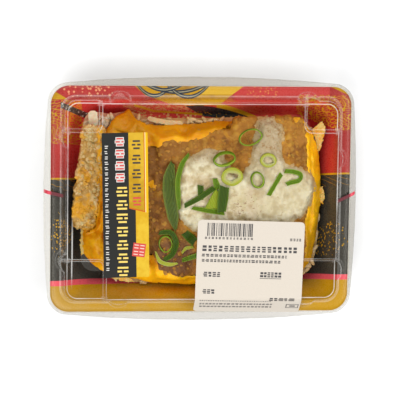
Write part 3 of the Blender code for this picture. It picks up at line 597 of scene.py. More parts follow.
def carve(piece, *waves, swell=0.0):
    """Moves a piece's points in and out by layers of unevenness, and keeps the height as its relief.

    A wave is its height in mm, its spacing in mm, its seed, and "soft" or "crumb". Swell is added all over.
    """
    mesh = piece.data
    count = len(mesh.vertices)
    places, normals = np.empty(count * 3), np.empty(count * 3)
    mesh.vertices.foreach_get("co", places)
    mesh.vertex_normals.foreach_get("vector", normals)
    places = places.reshape(-1, 3) / MM
    relief = np.full(count, swell)
    for height, spacing, seed, kind in waves:
        basis, sign = ("VORONOI_F1", -1.0) if kind == "crumb" else ("PERLIN_ORIGINAL", 1.0)
        shifted = places / spacing + seed
        values = [noise.noise(Vector(p), noise_basis=basis) for p in shifted.tolist()]
        relief += height * sign * np.array(values)
    places += normals.reshape(-1, 3) * relief[:, None]
    mesh.vertices.foreach_set("co", (places * MM).ravel())
    low, high = np.percentile(relief, (2, 98))
    keep_tones(piece, np.clip((relief - low) / (high - low), 0, 1), "relief")
    mesh.update()


egg_finish = Finish(
    "cooked egg",
    0.4,
    Subsurface_Weight=0.2,
    Subsurface_Scale=0.002,
    Subsurface_Radius=(1.0, 0.5, 0.05),
    Coat_Weight=0.06,
    Coat_Roughness=0.15,
    Specular_IOR_Level=0.2,
)
streaks = egg_finish.mottle(14.0, detail=4.0, distortion=1.2)
wisps = egg_finish.mottle(5.0, distortion=2.0)
egg_relief = egg_finish.stored("relief")
right_side = egg_finish.x.ramp(60.0, 68.0)
egg_finish.colour(
    (0.72, 0.27, 0.002),
    (streaks.ramp(0.35, 0.7), (0.82, 0.38, 0.004)),
    # Paler on the tops of the relief: painted highlight.
    (egg_relief.ramp(0.55, 1.0) * 0.6, (0.86, 0.46, 0.012)),
    (wisps.ramp(0.66, 0.8) * 0.5, (0.80, 0.52, 0.12)),
    # Darker in the hollows of the relief: painted shade.
    (egg_relief.ramp(0.25, 0.0) * 0.7, (0.60, 0.21, 0.002)),
    (right_side * 0.9, (1.0, 0.54, 0.006)),
    # Brighter towards the front: painted light against the shadow there.
    (egg_finish.y.ramp(-42.0, -47.0) * 0.9, (1.0, 0.52, 0.006)),
    (egg_finish.y.ramp(38.0, 44.0) * 0.6, (0.54, 0.23, 0.001)),
    # Darker where the egg lies low: painted shade.
    (egg_finish.z.ramp(20.0, 17.5) * 0.6, (0.42, 0.15, 0.006)),
    (right_side * egg_finish.mottle(9.0, distortion=0.6).ramp(0.45, 0.7) * 0.75, (0.62, 0.33, 0.006)),
    # Darker towards the front of the right band: painted shadow.
    (right_side * egg_finish.y.ramp(-8.0, -26.0) * 0.7, (0.40, 0.19, 0.003)),
)
egg_finish.bump(egg_finish.mottle(1.6), 0.25)
egg = finer("cooked_egg", "egg_sheet", 0.7, smoothing=1)
carve(egg, (0.9, 8.0, 3.0, "soft"), (0.4, 3.4, 8.0, "soft"), (0.2, 1.6, 1.0, "soft"), swell=0.35)
egg.data.materials.append(egg_finish.material)
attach(egg, "root")
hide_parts("egg_sheet")


# Cutlet. A pork loin coated in coarse bread crumbs, fried, cut into slices that stay in place, and
# simmered in sauce, so that the crust is soft, craggy and brown. The slice on the left stayed drier.
CRUST_OUTLINE = (
    (-38.3, 31.5), (-33.3, 34.0), (-24.5, 36.0), (-17.7, 37.5), (-11.4, 37.8), (-3.9, 40.0),
    (2.0, 41.5), (9.2, 43.0), (17.3, 45.5), (21.7, 49.0), (27.0, 51.0), (38.0, 51.5), (52.0, 51.5),
    (59.0, 50.0), (63.5, 46.0), (65.2, 38.0), (66.0, 30.0), (66.0, 21.0), (66.0, 0.0), (66.0, -25.0),
    (62.0, -38.0), (45.0, -41.5), (20.0, -44.5), (6.0, -46.0), (-4.0, -48.0), (-13.0, -48.5),
    (-21.0, -47.5), (-25.5, -42.5), (-28.0, -35.5), (-36.0, -34.5), (-46.0, -33.0), (-51.0, -20.0),
    (-52.0, 0.0), (-50.0, 22.0),
)
DARK_PLACE = (-17.0, -38.0)
DRY_WAVES = ((1.3, 5.0, 7.0, "crumb"), (0.9, 2.6, 5.0, "crumb"), (1.2, 8.0, 3.0, "soft"))
COAT_WAVES = (
    (1.0, 7.5, 31.0, "crumb"),
    (0.3, 3.4, 17.0, "crumb"),
    (0.8, 4.5, 11.0, "soft"),
    (0.6, 10.0, 5.0, "soft"),
)


def crust_finish(name, base, low_colour, high_colour):
    """Fried crumb with painted shade in the hollows of its relief and painted highlights on its tops, and the
    layers that both kinds of crust share.
    """
    crust = Finish(
        name,
        0.5,
        Subsurface_Weight=0.12,
        Subsurface_Scale=0.002,
        Subsurface_Radius=(1.0, 0.45, 0.2),
        Coat_Weight=0.06,
        Coat_Roughness=0.3,
        Specular_IOR_Level=0.18,
    )
    relief = crust.stored("relief")
    blotch = crust.mottle(12.0, detail=4.0, distortion=0.8)
    crust.varied("Roughness", blotch.ramp(0.3, 0.7) * 0.25 + 0.4)
    crust.bump(crust.mottle(2.0, detail=4.0, distortion=1.0), 0.6)
    return crust, [
        base,
        # Darker in the relief's hollows and paler on its tops: painted shade and painted highlight.
        (relief.ramp(0.4, 0.0) * 0.8, low_colour),
        (relief.ramp(0.6, 1.0), high_colour),
        (blotch.ramp(0.48, 0.68) * 0.7, low_colour),
        (crust.mottle(3.4, distortion=1.0).ramp(0.52, 0.75) * 0.6, high_colour),
        (crust.mottle(8.0, detail=2.0, distortion=1.5).ramp(0.55, 0.7) * 0.45, (0.62, 0.29, 0.02)),
    ]


dry, dry_layers = crust_finish("dry crust", (0.55, 0.32, 0.090), (0.42, 0.21, 0.040), (0.74, 0.54, 0.27))
dry.colour(
    *dry_layers,
    (dry.mottle(9.0, detail=2.0, distortion=0.4).ramp(0.5, 0.64) * 0.85, (0.76, 0.36, 0.012)),
    (dry.x.ramp(-66.5, -63.5) * dry.mottle(6.0).ramp(0.35, 0.55), (0.84, 0.40, 0.006)),
)
soaked, soaked_layers = crust_finish(
    "soaked crust", (0.36, 0.148, 0.018), (0.165, 0.056, 0.010), (0.52, 0.26, 0.034)
)
left_shade = (soaked.x.ramp(-12.0, -26.0) * (soaked.x > -56.0)) * soaked.mottle(7.0).ramp(0.3, 0.6)
dark_place = (soaked.x - DARK_PLACE[0]).reach((soaked.y - DARK_PLACE[1]) * math.sqrt(0.8))
soaked.colour(
    *soaked_layers,
    (left_shade * 0.55, (0.17, 0.062, 0.016)),
    (dark_place.ramp(17.0, 8.0) * 0.8, (0.15, 0.066, 0.036)),
    (soaked.x.ramp(6.0, -6.0) * soaked.y.ramp(16.0, 26.0) * 0.45, (0.20, 0.080, 0.014)),
)

slices = []
for number in range(1, 7):
    slice_piece = finer(f"fried_slice_{number}", f"cutlet_slice_{number}", 0.8)
    if number == 1:
        carve(slice_piece, *DRY_WAVES, swell=-0.3)
    else:
        carve(slice_piece, (0.9, 5.2, number * 7.0, "crumb"), (0.5, 8.0, number * 3.0, "soft"), swell=1.0)
    slice_piece.data.materials.append(dry.material if number == 1 else soaked.material)
    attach(slice_piece, "root")
    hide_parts(f"cutlet_slice_{number}")
    slices.append(slice_piece)


def depth_inside(outline, xs, ys):
    """How far each grid place is inside a closed outline; less than nothing when outside."""
    inside = np.zeros(xs.shape, bool)
    nearest = np.full(xs.shape, 1e9)
    for a, b in zip(outline, outline[1:] + outline[:1]):
        rise = b.y - a.y or 1e-9
        crosses = ((a.y > ys) != (b.y > ys)) & (xs < (b.x - a.x) * (ys - a.y) / rise + a.x)
        inside ^= crosses
        run = b - a
        share = np.clip(((xs - a.x) * run.x + (ys - a.y) * run.y) / max(run.length_squared, 1e-9), 0, 1)
        nearest = np.minimum(nearest, np.hypot(xs - a.x - share * run.x, ys - a.y - share * run.y))
    return np.where(inside, nearest, -nearest)


def spread(heights, combine):
    """Each grid height combined with its eight neighbours."""
    padded = np.pad(heights, 1, mode="edge")
    rows, columns = heights.shape
    return combine([padded[i : i + rows, j : j + columns] for i in range(3) for j in range(3)], axis=0)


EDGE_FALL = 3.0  # how fast a draped sheet thins towards its edge
LEVEL_FALL = 6.0  # how wide the slope is from a level middle down to the edge
SHEET_SINK = 0.9  # how deep a draped sheet's edge sinks into what carries it
LEAST_BED = 5.0  # no sheet lies where what is under it is lower than this


def draped(name, outline, under, finish, thickness, seed, level=None, ragged=1.6, step=0.6):
    """A soft sheet over what lies under it: thick inside, and thin and ragged at its edge.

    With a level the middle of the sheet lies on that height, and only its edge drapes down.
    """
    loop = smooth_loop(outline, 6 * len(outline))
    along_x, along_y = (
        np.arange(min(p[axis] for p in loop) - 3, max(p[axis] for p in loop) + 3, step) for axis in (0, 1)
    )
    xs, ys = np.meshgrid(along_x, along_y)
    places = list(zip(xs.ravel().tolist(), ys.ravel().tolist()))
    uneven = [ragged * (lumps(x, y, 5.5, seed) + 0.6 * lumps(x, y, 2.0, seed + 3)) for x, y in places]
    fine = [
        0.45 * lumps(x, y, 6.0, seed + 5) + 0.3 * lumps(x, y, 2.6, seed + 7) + 0.12 * lumps(x, y, 1.2, seed)
        for x, y in places
    ]
    depth = depth_inside(loop, xs, ys) + np.array(uneven).reshape(xs.shape)
    rest = np.array([height_on(under, x, y)[0] for x, y in places]).reshape(xs.shape)
    carried = spread(rest, np.max) > LEAST_BED
    for combine in [np.max] * 3 + [np.mean] * 4:
        rest = spread(rest, combine)
    share = 1 - np.exp(-np.maximum(depth, 0) / EDGE_FALL)
    rest = rest - SHEET_SINK
    if level is not None:
        middle = np.clip(depth / LEVEL_FALL, 0, 1)
        rest = rest + (level - rest) * middle * middle * (3 - 2 * middle)
    tops = rest + (thickness + np.array(fine).reshape(xs.shape) * 1.3) * share + 0.5 * np.minimum(depth, 0)
    kept = (depth > -1.6) & carried
    index = -np.ones(xs.shape, int)
    index[kept] = np.arange(kept.sum())
    points = list(zip(xs[kept], ys[kept], tops[kept]))
    corners = np.stack([index[:-1, :-1], index[:-1, 1:], index[1:, 1:], index[1:, :-1]], axis=-1)
    faces = corners[corners.min(axis=-1) >= 0].tolist()
    piece = add_piece(name, points, faces, finish, smooth_angle=180)
    keep_tones(piece, np.clip(depth[kept] / 5.0, 0, 1))
    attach(piece, "root")
    return piece


coat = draped("soaked_coat", CRUST_OUTLINE, tree_over(slices[1:]), soaked.material, 1.0, seed=4.0, step=0.55)
carve(coat, *COAT_WAVES, swell=0.45)


# Egg over the cutlet. Where the beaten egg was poured it also lies over the slices' ends, as thin
# soft flaps that run down into the sheet round them, with frills of paler egg at the outer edge.
EGG_FLAPS = {
    # thickness, height of a level middle or None, and the outline
    "egg_flap_back": (
        1.6,
        None,
        (-38.3, 33.0), (-33.3, 33.4), (-28.9, 33.8), (-23.9, 35.2), (-18.3, 36.8), (-11.4, 37.0),
        (-3.9, 37.6), (1.7, 40.6), (7.9, 43.6), (14.2, 45.6), (16.0, 48.0), (8.6, 48.4), (-0.8, 47.4),
        (-10.2, 46.8), (-19.6, 46.4), (-32.0, 46.0), (-40.0, 47.0),
    ),
    "egg_flap_front": (
        1.6,
        None,
        (-42.0, -37.0), (-34.2, -37.0), (-31.7, -36.6), (-28.4, -38.0), (-25.6, -43.0), (-21.0, -47.0),
        (-12.9, -49.2), (-3.5, -49.4), (6.0, -48.6), (18.5, -47.8), (30.0, -47.0), (30.0, -55.0),
        (6.0, -55.6), (-3.5, -55.8), (-16.0, -55.6), (-25.4, -55.2), (-34.2, -54.4), (-42.3, -53.0),
        (-50.0, -50.0), (-52.0, -42.0),
    ),
    "egg_flap_left": (
        1.4,
        30.4,
        (-64.6, -18.5), (-63.6, -6.0), (-62.4, 8.0), (-61.0, 22.0), (-57.8, 22.0), (-57.4, 0.0),
        (-57.0, -36.5), (-57.0, -43.0), (-64.0, -41.5), (-69.0, -37.0), (-71.3, -30.0), (-70.5, -23.5),
        (-67.0, -20.5),
    ),
    "egg_flap_right": (
        1.2,
        30.6,
        (59.0, 50.0), (66.0, 46.5), (70.5, 41.0), (73.5, 30.0), (75.2, 18.0), (76.3, 4.0),
        (76.0, -10.0), (73.4, -27.0), (69.0, -36.0), (67.0, -36.0), (67.6, 0.0), (67.4, 30.0),
        (65.2, 42.0), (60.5, 48.0),
    ),
    "egg_flap_middle": (
        0.9,
        None,
        (-36.0, 7.0), (-31.0, 6.4), (-26.0, 6.2), (-22.6, 8.6), (-26.0, 11.4), (-36.0, 11.6),
    ),
}
EGG_FRILLS = {
    # the line where it grows out of the sheet, and the line of its tips
    "frill_back_right": (
        ((75.0, 28.0, 20.5), (75.0, 33.0, 21.0), (73.5, 38.0, 21.5), (71.0, 42.5, 21.5)),
        ((77.0, 30.0, 22.5), (79.0, 37.0, 24.5), (80.6, 45.0, 26.5), (78.0, 50.0, 27.0)),
    ),
    "frill_right": (
        ((77.2, -3.0, 20.5), (77.4, 1.0, 20.8), (77.2, 6.0, 21.0)),
        ((79.6, -5.0, 22.0), (81.2, 0.0, 22.6), (79.4, 7.0, 22.0)),
    ),
    "frill_left": (
        ((-72.0, -36.0, 21.0), (-72.0, -29.0, 21.5), (-71.5, -23.0, 22.0)),
        ((-74.6, -38.0, 20.5), (-75.4, -29.0, 21.5), (-74.6, -20.0, 22.5)),
    ),
    "frill_front": (
        ((-54.0, -49.5, 20.5), (-48.0, -51.0, 21.0), (-42.0, -52.5, 20.5)),
        ((-55.0, -52.5, 20.0), (-48.0, -54.6, 20.5), (-40.0, -55.4, 20.0)),
    ),
}
pale_egg = Finish("pale egg", 0.4, Subsurface_Weight=0.3, Subsurface_Scale=0.002, Specular_IOR_Level=0.3)
pale_egg.colour(
    (0.72, 0.52, 0.17),
    (pale_egg.mottle(4.0).ramp(0.45, 0.65), (0.76, 0.40, 0.04)),
    (pale_egg.mottle(2.0).ramp(0.6, 0.75) * 0.7, (0.80, 0.70, 0.45)),
)
pale_egg.bump(pale_egg.mottle(1.4), 0.25)
under_egg = tree_over([egg, coat, *slices])
flaps = []
for number, (name, (thickness, flap_level, *outline)) in enumerate(EGG_FLAPS.items()):
    flap = draped(
        name,
        outline,
        under_egg,
        egg_finish.material,
        thickness,
        level=flap_level,
        ragged=1.2,
        seed=9.0 + number,
    )
    carve(flap, (0.5, 7.0, 3.0 + number, "soft"), (0.25, 2.8, 8.0, "soft"))
    flaps.append(flap)


FRILL_ROWS = 26
FRILL_COLUMNS = 7


def frill_points(root, tip):
    """A thin wavy sheet between two lines of points."""
    rows = []
    for step in range(FRILL_ROWS):
        place = (len(root) - 1) * step / (FRILL_ROWS - 1)
        i = min(int(place), len(root) - 2)
        inner = Vector(root[i]).lerp(Vector(root[i + 1]), place - i)
        outer = Vector(tip[i]).lerp(Vector(tip[i + 1]), place - i)
        fray = 0.85 + 0.3 * lumps(step * 0.9, 0.0, 2.0, root[0][0])
        for k in range(FRILL_COLUMNS):
            share = fray * k / (FRILL_COLUMNS - 1)
            wave = 0.8 * share * math.sin(step * 0.8) + 0.4 * lumps(step * 0.7, k, 1.6, 4.0)
            rows.append(inner.lerp(outer, share) + Vector((0, 0, wave)))
    return rows


def sheet_faces(rows, columns):
    """Faces of a sheet whose points lie in rows, one after the other."""
    starts = [row * columns + column for row in range(rows - 1) for column in range(columns - 1)]
    return [(k, k + 1, k + columns + 1, k + columns) for k in starts]


for name, lines in EGG_FRILLS.items():
    faces = sheet_faces(FRILL_ROWS, FRILL_COLUMNS)
    frill = add_piece(name, frill_points(*lines), faces, pale_egg.material, smooth_angle=180)
    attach(frill, "root")


# Bread crumbs. Coarse flakes of dried bread, pressed onto the meat before frying, that stand up
# from the crust, torn and uneven. They are thin and brown where the sauce soaked them, and
# thicker and paler on the slice at the left.
CRUMB_COUNT = 1500
DRY_SIDE = -56.0  # the first slice lies left of this, and its crumbs stand thicker
LEAST_CRUMB_HEIGHT = 27.0
CRUMB_FIELD = ((-78.0, 68.0), (-52.0, 53.0))  # x and y between which crumbs are strewn
DRY_FIELD = (-78.0, -54.0)  # x between which each third crumb is strewn, over the dry slice
# least and most length, and least and most thickness as a share of the length
SOAKED_FLAKES = ((1.4, 3.8), (0.1, 0.2))
DRY_FLAKES = ((1.2, 3.4), (0.25, 0.5))
crumb_finish = Finish(
    "bread crumbs", 0.6, Subsurface_Weight=0.2, Subsurface_Scale=0.002, Specular_IOR_Level=0.25
)
crumb_patches = crumb_finish.mottle(12.0, detail=4.0, distortion=0.8)
crumb_tone = crumb_finish.stored()
dry_side = crumb_finish.x.ramp(-54.0, -56.5)
dry_patches = crumb_finish.mottle(9.0, detail=2.0, distortion=0.4)
crumb_finish.colour(
    (0.36, 0.150, 0.020),
    (crumb_tone * 0.7, (0.48, 0.24, 0.036)),
    (crumb_patches.ramp(0.48, 0.72) * 0.55, (0.19, 0.068, 0.012)),
    (dry_side, (0.55, 0.32, 0.090)),
    (dry_side * crumb_tone * 0.9, (0.76, 0.56, 0.28)),
    (dry_side * dry_patches.ramp(0.48, 0.6) * 0.75, (0.78, 0.37, 0.012)),
)
crumb_tree = tree_over([*slices, coat])
crumb_draw = random.Random(23)
crumb_shape = bmesh.new()
bmesh.ops.create_icosphere(crumb_shape, subdivisions=2, radius=0.5)
flake_points = [v.co * (1 + 0.8 * noise.noise(v.co * 4.5)) for v in crumb_shape.verts]
flake_faces = [tuple(v.index for v in face.verts) for face in crumb_shape.faces]
crumb_shape.free()
crumb_spots = []
for k in range(CRUMB_COUNT):
    x = crumb_draw.uniform(*(CRUMB_FIELD[0] if k % 3 else DRY_FIELD))
    y = crumb_draw.uniform(*CRUMB_FIELD[1])
    height, normal = height_on(crumb_tree, x, y)
    if height < LEAST_CRUMB_HEIGHT:
        continue
    turn = normal.to_track_quat("Z", "Y").to_matrix() @ Matrix.Rotation(crumb_draw.uniform(0, 6.3), 3, "Z")
    turn = turn @ Matrix.Rotation(crumb_draw.uniform(-0.6, 0.6), 3, "Y")
    lengths, thicknesses = SOAKED_FLAKES if x > DRY_SIDE else DRY_FLAKES
    length = crumb_draw.uniform(*lengths)
    thickness = length * crumb_draw.uniform(*thicknesses)
    size = (length, length * crumb_draw.uniform(0.45, 0.8), thickness)
    crumb_spots.append((Vector((x, y, height + 0.1)), turn, size, crumb_draw.random()))
crumb_points, crumb_faces, crumb_tones = scattered(flake_points, flake_faces, crumb_spots)
crumbs = add_piece("bread_crumbs", crumb_points, crumb_faces, crumb_finish.material)
keep_tones(crumbs, crumb_tones)
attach(crumbs, "root")


# Soft egg white. Barely set white of egg spooned over the slices. It is thick and cloudy in the
# middle, thin and see-through at its edge, and lumpy where it hangs over the crust.
WHITE_OUTLINE = (
    (72.3, 4.5), (70.3, 13.5), (64.0, 20.0), (54.0, 23.0), (51.0, 33.0), (50.5, 46.0), (42.5, 52.0),
    (34.5, 49.5), (31.5, 38.0), (29.5, 25.0), (25.8, 17.8), (20.5, 18.8), (16.2, 25.0), (12.5, 31.5),
    (6.0, 33.5), (-1.5, 31.0), (-11.0, 25.5), (-16.6, 15.5), (-17.6, 3.5), (-15.4, -7.5), (-9.6, -17.0),
    (6.0, -24.0), (30.0, -25.5), (51.0, -19.5), (63.0, -11.5), (69.3, -3.5),
)
WHITE_THICKNESS = 3.2
WHITE_LEVEL = 39.1
THIN_PLACE = (28.0, -3.0)  # where the crust shows through as brown specks
white_finish = Finish(
    "soft egg white",
    0.36,
    Subsurface_Weight=0.3,
    Subsurface_Scale=0.003,
    Subsurface_Radius=(1.0, 0.8, 0.5),
    Coat_Weight=0.15,
    Coat_Roughness=0.15,
    Specular_IOR_Level=0.35,
)
edge_depth = white_finish.stored()
cloudy = white_finish.mottle(7.0, detail=4.0)
arm = white_finish.y.ramp(18.0, 32.0) * 0.95
white_relief = white_finish.stored("relief")
thin_place = (white_finish.x - THIN_PLACE[0]).reach(white_finish.y - THIN_PLACE[1]).ramp(15.0, 5.0)
left_part = white_finish.x.ramp(44.0, 34.0)
white_finish.colour(
    (0.60, 0.52, 0.33),
    (cloudy.ramp(0.42, 0.62), (0.73, 0.68, 0.50)),
    (cloudy.ramp(0.48, 0.34) * 0.8, (0.42, 0.33, 0.17)),
    # Darker in the relief's hollows and paler on its tops: painted shade and painted highlight.
    (white_relief.ramp(0.45, 0.0) * 0.8, (0.42, 0.33, 0.17)),
    (white_relief.ramp(0.55, 1.0) * 0.6, (0.82, 0.79, 0.63)),
    (white_finish.mottle(16.0).ramp(0.5, 0.75) * 0.5, (0.62, 0.56, 0.32)),
    # Darker towards the right: painted shade.
    (white_finish.x.ramp(10.0, 40.0) * 0.5, (0.54, 0.46, 0.30)),
    (left_part * white_finish.mottle(9.0).ramp(0.4, 0.65) * 0.42, (0.42, 0.28, 0.14)),
    (thin_place * cloudy.ramp(0.4, 0.6) * 0.35, (0.44, 0.29, 0.17)),
    (thin_place * white_finish.mottle(2.4, distortion=1.2).ramp(0.58, 0.66) * 0.8, (0.24, 0.11, 0.05)),
    (arm, (0.42, 0.32, 0.19)),
    (edge_depth.ramp(0.8, 0.05) * 0.75, (0.54, 0.41, 0.22)),
    (edge_depth.ramp(0.3, 0.0) * 0.8, (0.46, 0.27, 0.09)),
    (white_finish.mottle(3.0, distortion=1.0).ramp(0.64, 0.74) * 0.6, (0.46, 0.33, 0.18)),
    (arm * white_finish.mottle(2.6, distortion=1.5).ramp(0.54, 0.64) * 0.8, (0.30, 0.16, 0.05)),
)
white_finish.bump(white_finish.mottle(2.4), 0.4)

under_white = tree_over([*slices, coat, egg, *flaps])
white = draped(
    "soft_egg_white",
    WHITE_OUTLINE,
    under_white,
    white_finish.material,
    WHITE_THICKNESS,
    level=WHITE_LEVEL,
    seed=2.0,
)
carve(white, (0.7, 5.0, 13.0, "soft"), (0.35, 2.3, 29.0, "soft"))
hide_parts("egg_white")


# Spring onion. Rings and slanting strips cut from hollow green leaves and from the paler stem. A
# ring is darkest at its outer skin, and a strip has fine lines along it.
ONION_RINGS = {
    # centre x and y, half length, half width, wall, height, turn, lean, and which finish
    "ring_thin": (29.7, 39.9, 7.6, 5.2, 1.1, 3.0, 18.0, 4.0, "green"),
    "ring_rolled": (13.5, 26.4, 7.2, 4.8, 1.3, 3.4, 12.0, 20.0, "green"),
    "ring_pale_large": (18.4, 15.4, 6.9, 5.9, 3.9, 2.4, 0.0, 0.0, "pale"),
    "ring_pale_small": (40.9, 25.6, 5.2, 4.6, 2.6, 2.4, 0.0, 0.0, "pale"),
    "ring_dark": (34.3, 13.4, 4.4, 5.4, 1.3, 3.0, 20.0, 5.0, "green"),
    "ring_lower": (-22.2, -27.6, 4.4, 5.6, 1.0, 2.2, 10.0, 10.0, "green"),
}
ONION_STRIPS = {
    # half width, how many layers up, fold across, finish, widths along it as shares, then its middle line
    "leaf_narrow": (
        1.6, 0.6, 0.5, "green", (0.5, 1.0, 1.0, 1.0, 0.5),
        (-8.2, 29.0), (-12.8, 22.5), (-15.2, 13.0), (-15.0, 4.0), (-14.0, -5.5),
    ),
    "leaf_wide": (
        4.1, 1.0, 0.9, "leaf", (0.3, 0.9, 1.0, 0.95, 0.85, 0.12),
        (-18.8, 23.5), (-20.6, 13.0), (-20.2, 2.5), (-18.2, -8.5), (-16.0, -19.0),
    ),
    "strip_straight": (1.4, 0.0, 0.3, "green", (1.0, 0.95, 1.0), (49.4, 17.2), (45.4, 10.4), (41.5, 3.6)),
    "strip_folded": (
        1.4, 0.0, 0.3, "green", (1.0, 1.0, 1.05, 0.85, 1.05, 1.0, 0.9),
        (51.6, 18.8), (56.6, 18.4), (61.2, 17.0), (61.8, 14.6), (60.0, 12.8), (56.0, 11.8),
        (52.6, 10.6),
    ),
    "strip_star_upright": (1.8, 0.0, 0.3, "dark", (1.0, 1.0, 0.9), (-1.2, 9.8), (-1.1, 5.2), (-0.9, 0.6)),
    "strip_star_low": (1.6, 0.2, 0.2, "green", (0.6, 1.0, 0.9), (-6.2, -4.3), (3.9, -6.0), (13.8, -7.4)),
    "strip_star_slanting": (1.7, 1.0, 0.4, "dark", (0.8, 1.0, 1.0), (-11.2, -3.0), (-1.6, 2.4), (7.2, 8.4)),
    "strip_star_tip": (1.9, 0.2, 0.2, "green", (0.8, 1.0, 1.2), (7.6, 14.2), (8.6, 10.8), (9.6, 7.4)),
    "inner_face": (4.6, 0.5, 0.0, "inner", (0.3, 0.7, 1.0), (9.2, 6.6), (8.0, 1.4), (6.4, -4.6)),
    "strip_star_wide": (3.2, 1.4, 0.6, "dark", (1.0, 1.05, 0.85), (13.3, 9.2), (12.7, 2.0), (11.8, -6.6)),
    "strip_bent": (
        1.7, 0.9, 0.3, "dark", (0.7, 1.0, 1.0, 1.0, 0.7),
        (-26.4, -20.6), (-19.0, -20.6), (-15.6, -27.4), (-18.4, -34.4), (-23.0, -37.6),
    ),
    "strip_pale": (
        1.3, 0.0, 0.3, "pale", (0.3, 1.0, 1.0, 0.4),
        (-28.4, -32.4), (-25.8, -38.4), (-20.0, -40.6), (-14.4, -40.0),
    ),
    "strip_wedge": (2.9, 0.0, 0.4, "dark", (0.8, 1.0, 0.9), (-10.4, -20.6), (-7.0, -23.6), (-4.0, -26.6)),
    "strip_low": (1.6, 0.2, 0.3, "green", (0.7, 1.0, 1.0), (-11.6, -38.2), (-6.6, -36.6), (-1.4, -34.4)),
    "strip_arc": (1.1, 0.0, 0.2, "pale", (0.5, 1.0, 0.8), (-11.8, -33.8), (-9.2, -30.6), (-4.6, -29.6)),
}
ONION_COLOURS = {
    # inner side, outer side, and the fine lines along it
    "green": ((0.30, 0.42, 0.035), (0.085, 0.17, 0.004), (0.16, 0.27, 0.006)),
    "dark": ((0.11, 0.20, 0.008), (0.032, 0.070, 0.005), (0.085, 0.16, 0.003)),
    "leaf": ((0.16, 0.20, 0.022), (0.046, 0.078, 0.010), (0.19, 0.25, 0.035)),
    "pale": ((0.50, 0.50, 0.21), (0.38, 0.42, 0.03), (0.46, 0.48, 0.10)),
    "inner": ((0.16, 0.24, 0.006), (0.27, 0.34, 0.012), (0.34, 0.40, 0.06)),
}
RING_STEPS = 52  # points round a ring
RING_SIDES = 12  # points round the wall of a ring
STRIP_COLUMNS = 7  # points across a strip
STRIP_THICKNESS = 0.75
LAYER_HEIGHT = 0.9  # how much higher each strip lies that crosses over others
RING_SINK = 0.3  # how deep a ring settles into what carries it
STRIP_SINK = 0.4  # the same for the high spots under a strip
STRIP_GAP = 0.1
onion_finishes = {}
for onion_name, (inner_colour, outer_colour, vein_colour) in ONION_COLOURS.items():
    onion = Finish(
        onion_name + " onion",
        0.42,
        Subsurface_Weight=0.15,
        Subsurface_Scale=0.0015,
        Coat_Weight=0.05,
        Specular_IOR_Level=0.2,
    )
    outer_side = onion.stored()
    veins = (onion.stored("across") * 7.0 + onion.mottle(5.0) * 3.0).by("SINE")
    onion.colour(
        inner_colour,
        (outer_side.ramp(0.15, 0.75), outer_colour),
        (veins.ramp(0.0, 1.0) * 0.55, vein_colour),
        (onion.mottle(3.0).ramp(0.6, 0.75) * 0.4, vein_colour),
    )
    onion.bump(veins, 0.12)
    onion_finishes[onion_name] = onion.material
onion_bed = tree_over([egg, coat, *slices, white])


def finish_onion(name, points, faces, tones, across, kind):
    """Makes a cut piece and stores how far each point is towards the outer skin, and across the cut in mm."""
    piece = add_piece("cut_" + name, points, faces, onion_finishes[kind], smooth_angle=50)
    keep_tones(piece, tones)
    keep_tones(piece, across, "across")
    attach(piece, "root")
    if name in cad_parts:
        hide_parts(name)


def rounded(share, power):
    """A sine or cosine made blunter, and moved to go from 0 to 1."""
    return 0.5 + 0.5 * math.copysign(abs(share) ** power, share)


for name, (cx, cy, half_x, half_y, wall, height, turn, lean, kind) in ONION_RINGS.items():
    spin = Matrix.Rotation(math.radians(turn), 3, "Z")
    tip_over = Matrix.Rotation(math.radians(lean), 3, "X")
    angles = [2 * math.pi * k / RING_STEPS for k in range(RING_STEPS)]
    outline = [Vector((math.cos(angle), math.sin(angle), 0)) for angle in angles]
    flat_places = [spin @ Vector((p.x * half_x, p.y * half_y, 0)) for p in outline]
    bed = sorted(height_on(onion_bed, cx + p.x, cy + p.y)[0] for p in flat_places)
    middle = Vector((cx, cy, bed[RING_STEPS * 4 // 5] - RING_SINK + height / 2))
    points, tones, across = [], [], []
    for p in outline:
        thin = wall * (0.85 + 0.3 * lumps(p.x * 3, p.y * 3, 2.0, cx))
        wobble = 1 + 0.05 * lumps(p.x * 4, p.y * 4, 3.0, cy)
        for k in range(RING_SIDES):
            angle = 2 * math.pi * k / RING_SIDES
            share = rounded(math.cos(angle), 0.7)
            inset = thin * (1 - share)
            up = height * rounded(math.sin(angle), 0.6)
            form = Vector((p.x * (half_x * wobble - inset), p.y * (half_y * wobble - inset), up - height / 2))
            points.append(middle + spin @ (tip_over @ form))
            tones.append(share)
            across.append(share * thin)
    faces = []
    for i in range(RING_STEPS):
        here, ahead = i * RING_SIDES, (i + 1) % RING_STEPS * RING_SIDES
        for j in range(RING_SIDES):
            beside = (j + 1) % RING_SIDES
            faces.append((here + j, ahead + j, ahead + beside, here + beside))
    finish_onion(name, points, faces, tones, across, kind)


def along_curve(control, count):
    """Points along a smooth open curve through the control points."""
    padded = [control[0], *control, control[-1]]
    points = []
    for k in range(count):
        place = (len(control) - 1) * k / (count - 1)
        i = min(int(place), len(control) - 2)
        points.append(curve_place(padded[i : i + 4], place - i))
    return points


